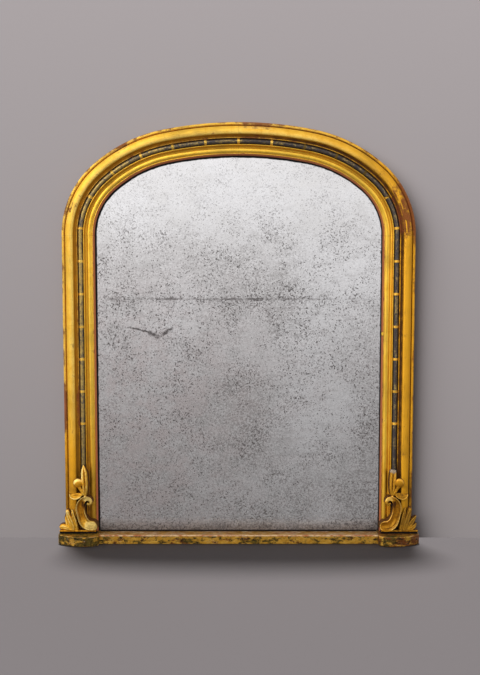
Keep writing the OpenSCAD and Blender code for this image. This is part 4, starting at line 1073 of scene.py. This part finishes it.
def fan_form(bm, side):
    def flutes(along, across):
        return 0.5 * max(0, math.cos(across * 9.4)) * min(1, 4 * along) * (abs(across) < 0.8)

    worn = side < 0
    top = 76 if worn else 82
    lobes = [
        [[66, 8, 7.5, D - 10, 0], [66.4, 20, 8.2, D - 9, 0.6], [69.6, 38, 8, D - 8, 1],
         [73.6, top - 25, 7.2, D - 8, 1], [76.4, top - 10, 5.8, D - 8, 0.8], [77.4, top - 1, 3.2, D - 10, 0]],
        [[75, 8, 9, D - 7, 0], [77.4, 22, 10.4, D - 5.5, 0.6], [83, 41, 10.2, D - 4.5, 1],
         [88.6, top - 22, 9, D - 5, 1], [91, top - 9, 7.4, D - 6, 0.8], [91.6, top, 4.2, D - 9, 0]]]
    if worn:
        lobes += [
            [[82, 8, 8, D - 8, 0], [88, 22, 9.6, D - 7, 0.6], [93, 37, 8.6, D - 9, 1],
             [96.6, 50, 5.6, D - 12, 0.6], [98, 62, 1.2, D - 15, 0]],
            [[80, 11, 5, D - 7, 0], [92, 17.6, 8.6, D - 5.5, 0.5], [103, 21, 10.4, D - 6.5, 0.6],
             [112, 19.4, 9.2, D - 9, 0.4], [117, 18, 5.4, D - 13, 0]]]
    else:
        lobes += [
            [[82, 8, 8, D - 8, 0], [89, 22, 10, D - 7, 0.6], [98, 36, 9.4, D - 8, 1],
             [106, 47, 6.2, D - 10, 0.8], [112, 55.5, 1.2, D - 13, 0]],
            [[82, 10.5, 5, D - 7, 0], [94, 15.5, 8, D - 6, 0.8], [103, 21, 8.6, D - 8, 1],
             [109, 27, 5.6, D - 10, 0.8], [112.4, 32.6, 1.2, D - 13, 0]]]
    web = [[79, 7, 19, D - 15, 0], [80, 22, 19, D - 13, 0], [84, 40, 15, D - 12, 0],
           [85.4, top - 24, 11.5, D - 12, 0], [86, top - 12, 8, D - 14, 0]]
    ribbon(bm, web, LOBE_RIB, BACK_D + 20)
    for lobe in lobes:
        ribbon(bm, lobe, LOBE_RIB, BACK_D + 20, flutes)
    roll(bm, [[91.8, top - 6.5, 6.2, D - 11], [90.6, top - 13, 6.2, D - 11.5]])
    slab(bm, 57.3, 117)


def spray_form(bm, side):
    def veins(along, across):
        wave = math.sin(along * 46 - abs(across) * 5.5)
        return 0.5 * max(0, wave) * min(1, abs(across) * 4) * (1 - along * 0.5)

    leaf = [[38.6, 118.4, 5.6, D - 9, 0], [37.6, 127, 7.8, D - 8, 0.4], [37.6, 142, 9.6, D - 7, 1],
            [38.4, 160, 10.6, D - 8, 1], [39.8, 175, 11, D - 10, 1], [40.8, 187, 10.2, D - 12, 1]]
    tip = [[42, 197, 8, D - 14, 0.8], [42.8, 205, 4.8, D - 17, 0.4], [43, 212, 0.6, D - 20, 0]]
    broken = [[41.8, LEAF_BREAK_Z - 0.4, 8.2, D - 14, 0.8]]
    ribbon(bm, leaf + (tip if side < 0 else broken), LEAF_BLADE, BACK_D + 8, veins)
    roll(bm, [[43, 123.2, 5, D - 13], [46.4, 128, 4.6, D - 13], [51, 137, 4.8, D - 14],
              [56.6, 146, 6.4, D - 15]])
    bead(bm, 59.4, 157, 15, D - 16, 4, 0.72)
    ribbon(bm, [[44, 122.4, 4.2, D - 9, 0], [50, 121.6, 6, D - 8, 0.4], [58, 118, 8, D - 6, 1],
                [67, 115.4, 9, D - 5, 1], [75, 116.2, 8, D - 5, 1], [81, 119, 5, D - 6, 0.7],
                [85.4, 122, 1, D - 8, 0]], SHELL, BACK_D + 24)


# ---------------------------------------------------------------- the skin and the age of the ornaments

ORNAMENT_VOXEL_MM, ORNAMENT_DENT_MM = 0.8, 0.14
# How far round a point the carving is looked at, and how far below or above it the point has to lie to
# count as wholly sunk or proud, in mm. Sunk points are painted in shade, proud ones pale with a painted
# highlight.
SUNK_AT, PROUD_AT = ((6, 3.2), (14, 7.0)), (12, 4.5)
# How pale the arrises and the proud places are, by side: rubbing and a painted highlight, stronger on the
# left
RUBBED_AND_HIGHLIT = {"left": (0.9, 0.95), "right": (0.65, 0.55)}


def sink(p, reach):
    """How far each point (metres) lies behind the mean of the foremost carving round it, in mm."""
    cell = np.floor((p[:, [0, 2]] - p[:, [0, 2]].min(0)) / MM).astype(int) + 4 * reach
    out = WALL_Y - p[:, 1] / MM
    field = np.zeros(cell.max(0) + 4 * reach + 1)
    np.maximum.at(field, (cell[:, 0], cell[:, 1]), out)
    there = (field > 0).astype(float)
    for _ in range(3):
        for axis in (0, 1):
            field, there = (sum(np.roll(a, k, axis) for k in range(-reach // 2, reach // 2 + 1))
                            for a in (field, there))
    return (field / np.maximum(there, 1e-6))[cell[:, 0], cell[:, 1]] - out


def darken(age, where, hollow, rubbed=1.0):
    """Raises the hollow share where the given share is high, which darkens the gilding there, and takes the
    rubbed look away there.
    """
    age[:, 0] = np.maximum(age[:, 0], hollow * where)
    age[:, 1] *= 1 - rubbed * where


# Raises the arris share, which pales the gilding: a painted highlight.
def paint_highlight(age, where):
    age[:, 1] = np.maximum(age[:, 1], where)


def scroll_age(age, across, up, deep, side):
    """Painted shade and dirt in the band's trough under the volute, and a painted highlight on the foot and
    the volute's lip.
    """
    trough = ramp(up, 58, 86) * ramp(up, 105, 99) * np.clip(1.5 - np.abs(across - 45) / 7, 0, 1)
    foot = ramp(up, 46, 32) * ramp(across, 44, 34)
    if side > 0:
        foot = ramp(up, 60, 40) * ramp(across - up * 0.3, 22, 30)
        trough = np.maximum(trough, np.clip(1.3 - np.hypot((across - 16) / 14, (up - 29) / 8), 0, 0.7))
    lip = ramp(up, 98, 104) * ramp(across, 52, 44)
    darken(age, trough, 0.8)
    paint_highlight(age, np.maximum(foot, lip) * (0.9 if side < 0 else 0.6) * (1 - deep))


def spray_age(age, across, up, dents, side):
    """Darker in the leaflet's cup and on the bud, a painted highlight on the bud's upper edge, and gesso at
    the leaf's break.
    """
    darken(age, np.clip(1.5 - 1.5 * np.hypot((across - 65) / 19, (up - 119.5) / 7), 0, 1), 0.55, 0.9)
    bud = np.clip(1.6 - np.hypot(across - 58, up - 153) / 12, 0, 1)
    darken(age, bud, 0.42 if side < 0 else 0.5, 0.8)
    edge = ramp(np.hypot(across - 56, up - 152), 9.6, 15.6) * (up > 154) * (np.abs(across - 60) < 15)
    paint_highlight(age, (0.9 if side < 0 else 0.4) * edge)
    if side > 0:
        age[:, 2] = np.where(up > LEAF_BREAK_Z - 7 + 9 * dents, -1, 0)


def placed(form, kind, side):
    """The mesh of an ornament's forms, where they stand on the part."""
    bm = bmesh.new()
    form(bm, side)
    me = mesh_of(bm, kind)
    p = points_of(me)
    p[:, 0] = (SIGHT_X + p[:, 0]) * side
    p[:, 1] += WALL_Y
    p[:, 2] += PLINTH_H
    set_points(me, p * MM)
    if side < 0:
        me.flip_normals()
    return me


def ornament(kind, form, side_name, side):
    piece = skinned(placed(form, kind, side), f"carved_{kind}_{side_name}", ORNAMENT_VOXEL_MM, 3)
    me = piece.data
    p = points_of(me)
    dents = np.array([noise.noise(Vector(q) * 150) for q in p])
    p += rows_of(me.vertices, "normal", 3) * (dents[:, None] * ORNAMENT_DENT_MM * MM)
    p[:, 2] = np.maximum(p[:, 2], PLINTH_H * MM)
    up, out = p[:, 2] / MM - PLINTH_H, WALL_Y - p[:, 1] / MM
    recess = (up < FOOT_H - 0.3) & (out > FOOT_FRONT)
    p[recess, 1] = (WALL_Y - FOOT_FRONT) * MM
    set_points(me, p)

    hollow, arris = form_age(me, 5, 7.0)
    # Sunk places, found much as occlusion is, take the hollow: painted shade. Arrises and proud places take
    # the arris: rubbing and a painted highlight.
    deep = np.maximum(*(np.clip(sink(p, reach) / depth, 0, 1) for reach, depth in SUNK_AT))
    proud = np.clip(-sink(p, PROUD_AT[0]) / PROUD_AT[1], 0, 1)
    arris_gain, proud_gain = RUBBED_AND_HIGHLIT[side_name]
    age = np.zeros((len(p), 4))
    age[:, 0] = np.maximum(hollow * 0.9, deep)
    age[:, 1] = np.maximum(arris * arris_gain, proud * proud_gain) * (1 - deep)
    across = np.abs(p[:, 0]) / MM - SIGHT_X
    if kind == "scroll":
        scroll_age(age, across, up, deep, side)
    elif kind == "leaf_spray":
        spray_age(age, across, up, dents, side)
    top = FOOT_H + SLAB_T
    # The ornament is darker on its slab and towards its foot.
    darken(age, ramp(up, top + 3, top + 1), 0.5, 0.85)
    age[:, 0] = np.maximum(age[:, 0], np.clip(1.0 - up / 14, 0, 0.5))
    # The set-back foot under the slab is painted black: painted shadow in the gap.
    age[:, 3] = (up < FOOT_H + 0.4) & (out < SLAB_FRONT - 0.6)
    put_age(me, age)
    dress(me, "ornament_" + side_name)
    hand_over(piece, f"{kind}_{side_name}")


for kind, form in (("scroll", scroll_form), ("fan_leaf", fan_form), ("leaf_spray", spray_form)):
    for side_name, side in SIDES:
        ornament(kind, form, side_name, side)


# ---------------------------------------------------------------- base rail and plinths

RAIL_STEPS, RAIL_CLEAR, RAIL_FOOT_R, RAIL_WAVE_MM = 260, 0.3, 1.2, 0.5
PLINTH_EDGE_R, PLINTH_VOXEL_MM, PLINTH_DENT_MM, DENTED_D = 1.3, 1.5, 0.5, 33.0


def rail_section():
    """The rail's section, as [d, z]."""
    s = Section()
    foot_d, nose_z = RAIL_D - RAIL_FOOT_R, RAIL_H - RAIL_NOSE
    s.add([(BACK_D, 0), (RAIL_D - 12, 0), (foot_d, 0)], hollow=0.5)
    s.arc((foot_d, RAIL_FOOT_R), RAIL_FOOT_R, 270, 360, 4, (0, 0.5, 0, 0))
    s.add([(RAIL_D, z) for z in np.linspace(3, nose_z - 1, 9)])
    # The nose and the top get a high arris: rubbed gold over the bole, and a painted highlight where light
    # falls from above.
    s.arc((RAIL_D - RAIL_NOSE, nose_z), RAIL_NOSE, 0, 90, 10, (0, 0.9, 0.25, 0))
    s.add([(d, RAIL_H) for d in np.linspace(RAIL_D - RAIL_NOSE - 3, BACK_D, 8)], hollow=0.1, arris=0.6)
    return s


def base_rail():
    section, rings = rail_section(), []
    end = PLINTH_IN - RAIL_CLEAR
    for x in np.linspace(-end, end, RAIL_STEPS + 1):
        ring = []
        for d, z in section.points:
            wave = noise.noise(Vector((x, d, z)) * 0.02) * RAIL_WAVE_MM * (z > 0.5) * (d > BACK_D)
            ring.append((x * MM, (WALL_Y - d - wave * 0.5) * MM, (z + wave * 0.3) * MM))
        rings.append(ring)
    me = tube("rubbed_base_rail", rings)
    put_age(me, np.tile(np.array(section.age), (len(rings), 1)))
    dress(me, "rail")
    hand_over(new_object("rubbed_base_rail", me), "base_rail", SHARP_ANGLE)


def plinth_outline():
    """The plinth seen from above, [x, d] in mm: square behind, bowed in front."""
    peak_x, peak_d = PLINTH_IN + PLINTH_PEAK, RAIL_D + PLINTH_BOW
    drop, run_out = PLINTH_BOW - PLINTH_RETURN, PLINTH_OUT - peak_x
    r_in = (PLINTH_PEAK ** 2 + drop ** 2) / (2 * drop)
    r_out = (run_out ** 2 + PLINTH_BOW ** 2) / (2 * PLINTH_BOW)
    first, last = math.pi - math.acos(PLINTH_PEAK / r_in), math.acos(run_out / r_out)
    pts = [(PLINTH_IN, BACK_D), (PLINTH_IN, RAIL_D - 10), (PLINTH_IN, RAIL_D + 4)]
    for r, angles in ((r_in, np.linspace(first, math.pi / 2, 22)),
                      (r_out, np.linspace(math.pi / 2, last, 40)[1:])):
        arc = [(peak_x + r * math.cos(a), peak_d - r + r * math.sin(a)) for a in angles]
        pts += [(x, d) for x, d in arc if x < PLINTH_OUT - PLINTH_CHAMFER]
    return pts + [
        (PLINTH_OUT - PLINTH_CHAMFER, RAIL_D + PLINTH_CHAMFER / 2), (PLINTH_OUT, RAIL_D - PLINTH_CHAMFER),
        (PLINTH_OUT, RAIL_D - 20), (PLINTH_OUT, BACK_D)]


def plinth_form(side):
    """The plinth's mesh with eased edges."""
    bm = bmesh.new()
    low = [bm.verts.new((side * x * MM, (WALL_Y - d) * MM, 0)) for x, d in plinth_outline()]
    top = bmesh.ops.extrude_face_region(bm, geom=[bm.faces.new(low)])
    bmesh.ops.translate(bm, vec=(0, 0, PLINTH_H * MM),
                        verts=[g for g in top["geom"] if isinstance(g, bmesh.types.BMVert)])
    bmesh.ops.recalc_face_normals(bm, faces=bm.faces[:])
    sharp = [e for e in bm.edges if len(e.link_faces) == 2 and e.calc_face_angle() > rad(40)]
    bmesh.ops.bevel(bm, geom=sharp, offset=PLINTH_EDGE_R * MM, segments=3, profile=0.5, affect="EDGES")
    return mesh_of(bm, "plinth")


def plinth(side_name, side):
    piece = skinned(plinth_form(side), f"rubbed_plinth_{side_name}", PLINTH_VOXEL_MM, 2)
    me = piece.data
    p = points_of(me)
    dents = np.array([noise.noise(Vector(q) * 60) for q in p])
    p[:, 1] += dents * PLINTH_DENT_MM * MM * (p[:, 1] < (WALL_Y - DENTED_D) * MM)
    p = np.clip(p, (-PLINTH_OUT * MM, (WALL_Y - RAIL_D - PLINTH_BOW) * MM, 0),
                (PLINTH_OUT * MM, (WALL_Y - BACK_D) * MM, PLINTH_H * MM))
    set_points(me, p)
    hollow, arris = form_age(me, 2, 6.0)
    below = PLINTH_H - p[:, 2] / MM
    # A painted highlight along the plinth's top edge, laid in the arris share.
    top_edge_highlight = ramp(below, 2.4, 1.2) * (0.62 + 0.45 * dents) * np.where(below < 0.3, 0.55, 1)
    none = np.zeros(len(p))
    put_age(me, np.column_stack([hollow, np.maximum(arris * 0.8, top_edge_highlight), none, none]))
    dress(me, "plinth_" + side_name)
    hand_over(piece, f"plinth_{side_name}")


base_rail()
for side_name, side in SIDES:
    plinth(side_name, side)


# ---------------------------------------------------------------- finishes of the nodes that stay

KEPT = {"mirror_plate": "glass", "subframe_sill": "level", "subframe_crown": "level",
        "glazing_blocks": "block", "backboard_nails": "nail",
        "lap_screws": "screw", "hanger_screws": "screw"}
for i in range(1, 6):
    KEPT[f"backboard_{i}"] = "board"
for side_name, _ in SIDES:
    KEPT[f"subframe_stile_{side_name}"] = KEPT[f"subframe_haunch_{side_name}"] = "upright"
    KEPT[f"hanger_strap_{side_name}"] = "brass"
    KEPT[f"hanger_ring_{side_name}"] = "ring"
for node, finish in KEPT.items():
    dress(frame["nodes"][node].data, finish)


# ---------------------------------------------------------------- stage and lights

# The wall is painted lighter upwards, from its low to its high colour: painted light.
WALL_LOW, WALL_HIGH, FLOOR_GREY = (0.172, 0.1575, 0.1585), (0.250, 0.229, 0.232), (0.093, 0.084, 0.086)
STAGE_REACH, FLOOR_Z, WALL_PLANE, WALL_PALES_TO = 14.0, -0.001, (WALL_Y + 1.5) * MM, 1.75


def stage_plane(name, corners, colour, high=None):
    """A plain plane that the gilding and the glass don't reflect. With a second colour it is a backdrop
    painted lighter upwards as painted light, shows to the camera alone, from its front, and takes no light
    from the object."""
    o = new_object(name, mesh_from(name, corners, [(0, 1, 2, 3)]))
    f = Finish(name)
    o.data.materials.append(f.surface(Base_Color=colour, Roughness=0.9, Specular_IOR_Level=0.1))
    o.visible_glossy = False
    if high:
        o.visible_diffuse = o.visible_transmission = o.visible_shadow = False
        share = f.value("ShaderNodeMapRange", {"Value": f.split(f.place)[2], "From Max": WALL_PALES_TO})
        f.surface(Base_Color=f.mix(share, colour, high))
        f.set(f.t.nodes["Material Output"].inputs["Surface"], f.value("ShaderNodeMixShader", {
            0: f.value("ShaderNodeNewGeometry", (), "Backfacing"), 1: Value(f, f.shader.outputs[0]),
            2: f.value("ShaderNodeBsdfTransparent")}))
    return o


R = STAGE_REACH
floor = stage_plane("floor", [(-R, -R, FLOOR_Z), (R, -R, FLOOR_Z), (R, R, FLOOR_Z), (-R, R, FLOOR_Z)],
                    FLOOR_GREY)
wall = stage_plane("wall", [(-R, WALL_PLANE, FLOOR_Z), (R, WALL_PLANE, FLOOR_Z), (R, WALL_PLANE, R),
                            (-R, WALL_PLANE, R)], WALL_LOW, WALL_HIGH)


def lamp(name, kind, place, aim, power, things, state, **more):
    """A lamp that lights only the given things (INCLUDE), or all but them (EXCLUDE)."""
    light = bpy.data.lights.new(name, kind)
    light.energy = power
    for key, value in more.items():
        setattr(light, key, value)
    o = new_object(name, light)
    o.location = place
    o.rotation_euler = (Vector(aim) - Vector(place)).to_track_quat("-Z", "Y").to_euler()
    group = bpy.data.collections.new(name + "_lights")
    for thing in things:
        group.objects.link(thing)
    for member in group.collection_objects:
        member.light_linking.link_state = state
    o.light_linking.receiver_collection = group


# The object has a key and a fill. The wall and the floor have lamps of their own, for their soft shadows
lamp("key", "AREA", (-2.4, -2.7, 3.2), (0, 0, 0.65), 74, (wall, floor), "EXCLUDE",
     color=(1.0, 0.97, 0.93), shape="SQUARE", size=3.8)
lamp("fill", "AREA", (2.8, -3.0, 1.6), (0, 0, 0.6), 24, (wall, floor), "EXCLUDE",
     color=(0.95, 0.97, 1.0), shape="SQUARE", size=2.5)
lamp("wall_light", "SUN", (-2.3, -2.4, 3.4), (0, 0, 1.3), 6.45, (wall,), "INCLUDE", angle=rad(56))
lamp("floor_light", "SUN", (-0.18, 0.95, 4.5), (0, 0, 0), 6.5, (floor,), "INCLUDE", angle=rad(10))


# ---------------------------------------------------------------- what the gilding and the glass reflect

# A level for each height in the room, as (share from straight down to straight up, level)
ROOM_LEVELS = ((0.0, 0.30), (0.25, 0.28), (0.36, 0.31), (0.403, 0.40), (0.447, 0.54), (0.493, 0.79),
               (0.53, 0.94), (0.62, 1.0))
# A soft window: its direction, where it starts and is full, and its level
WINDOW = ((-0.66, -0.64, 0.32), 0.76, 0.97, 0.64)
# The level of the whole, and how much darker the right is than the left
ROOM, LEFT_TO_RIGHT = 1.08, -0.38
AMBIENT = (0.50, 0.495, 0.495)


def room():
    """A plain grey room, which is light above and dark below in what the glass reflects."""
    world = bpy.data.worlds.new("room")
    bpy.context.scene.world = world
    world.use_nodes = True
    t = Tree(world.node_tree)
    where = t.value("ShaderNodeTexCoord", (), "Generated")
    x, _, z = t.split(where)
    ladder = t.node("ShaderNodeValToRGB", {0: t.value("ShaderNodeMapRange", {"Value": z, "From Min": -1.0})})
    stops = ladder.color_ramp.elements
    stops[0].position, stops[1].position = ROOM_LEVELS[0][0], ROOM_LEVELS[-1][0]
    for spot, _ in ROOM_LEVELS[1:-1]:
        stops.new(spot)
    for stop, (_, level) in zip(stops, ROOM_LEVELS):
        stop.color = (level, level * 0.99, level * 0.99, 1)
    direction, start, full, level = WINDOW
    facing = t.value("ShaderNodeVectorMath", {0: where, 1: Vector(direction).normalized()}, "Value",
                     operation="DOT_PRODUCT")
    side = t.value("ShaderNodeMapRange", {
        "Value": x, "From Min": -1.0,
        "To Min": ROOM * (1 - LEFT_TO_RIGHT), "To Max": ROOM * (1 + LEFT_TO_RIGHT)})
    glow = facing.step(start, full, 0.0, level)
    seen = t.value("ShaderNodeVectorMath", {0: Value(t, ladder.outputs[0]), 1: side}, operation="MULTIPLY")
    seen = t.value("ShaderNodeVectorMath", {0: seen, 1: glow}, operation="ADD")
    glossy = t.value("ShaderNodeLightPath", (), "Is Glossy Ray")
    t.set(t.t.nodes["Background"].inputs[0], t.mix(glossy, AMBIENT, seen))


room()


# ---------------------------------------------------------------- camera

CAMERA_PLACE, CAMERA_PITCH = (0.004, -3.193, 0.937), 5.48
LENS_MM, FILM_MM = 56.83, 36.0
eye = bpy.data.cameras.new("camera")
eye.lens, eye.sensor_width = LENS_MM, FILM_MM
camera = new_object("camera", eye)
camera.location = CAMERA_PLACE
camera.rotation_euler = (rad(90 - CAMERA_PITCH), 0, 0)
bpy.context.scene.camera = camera
bpy.context.scene.view_settings.view_transform = "Standard"
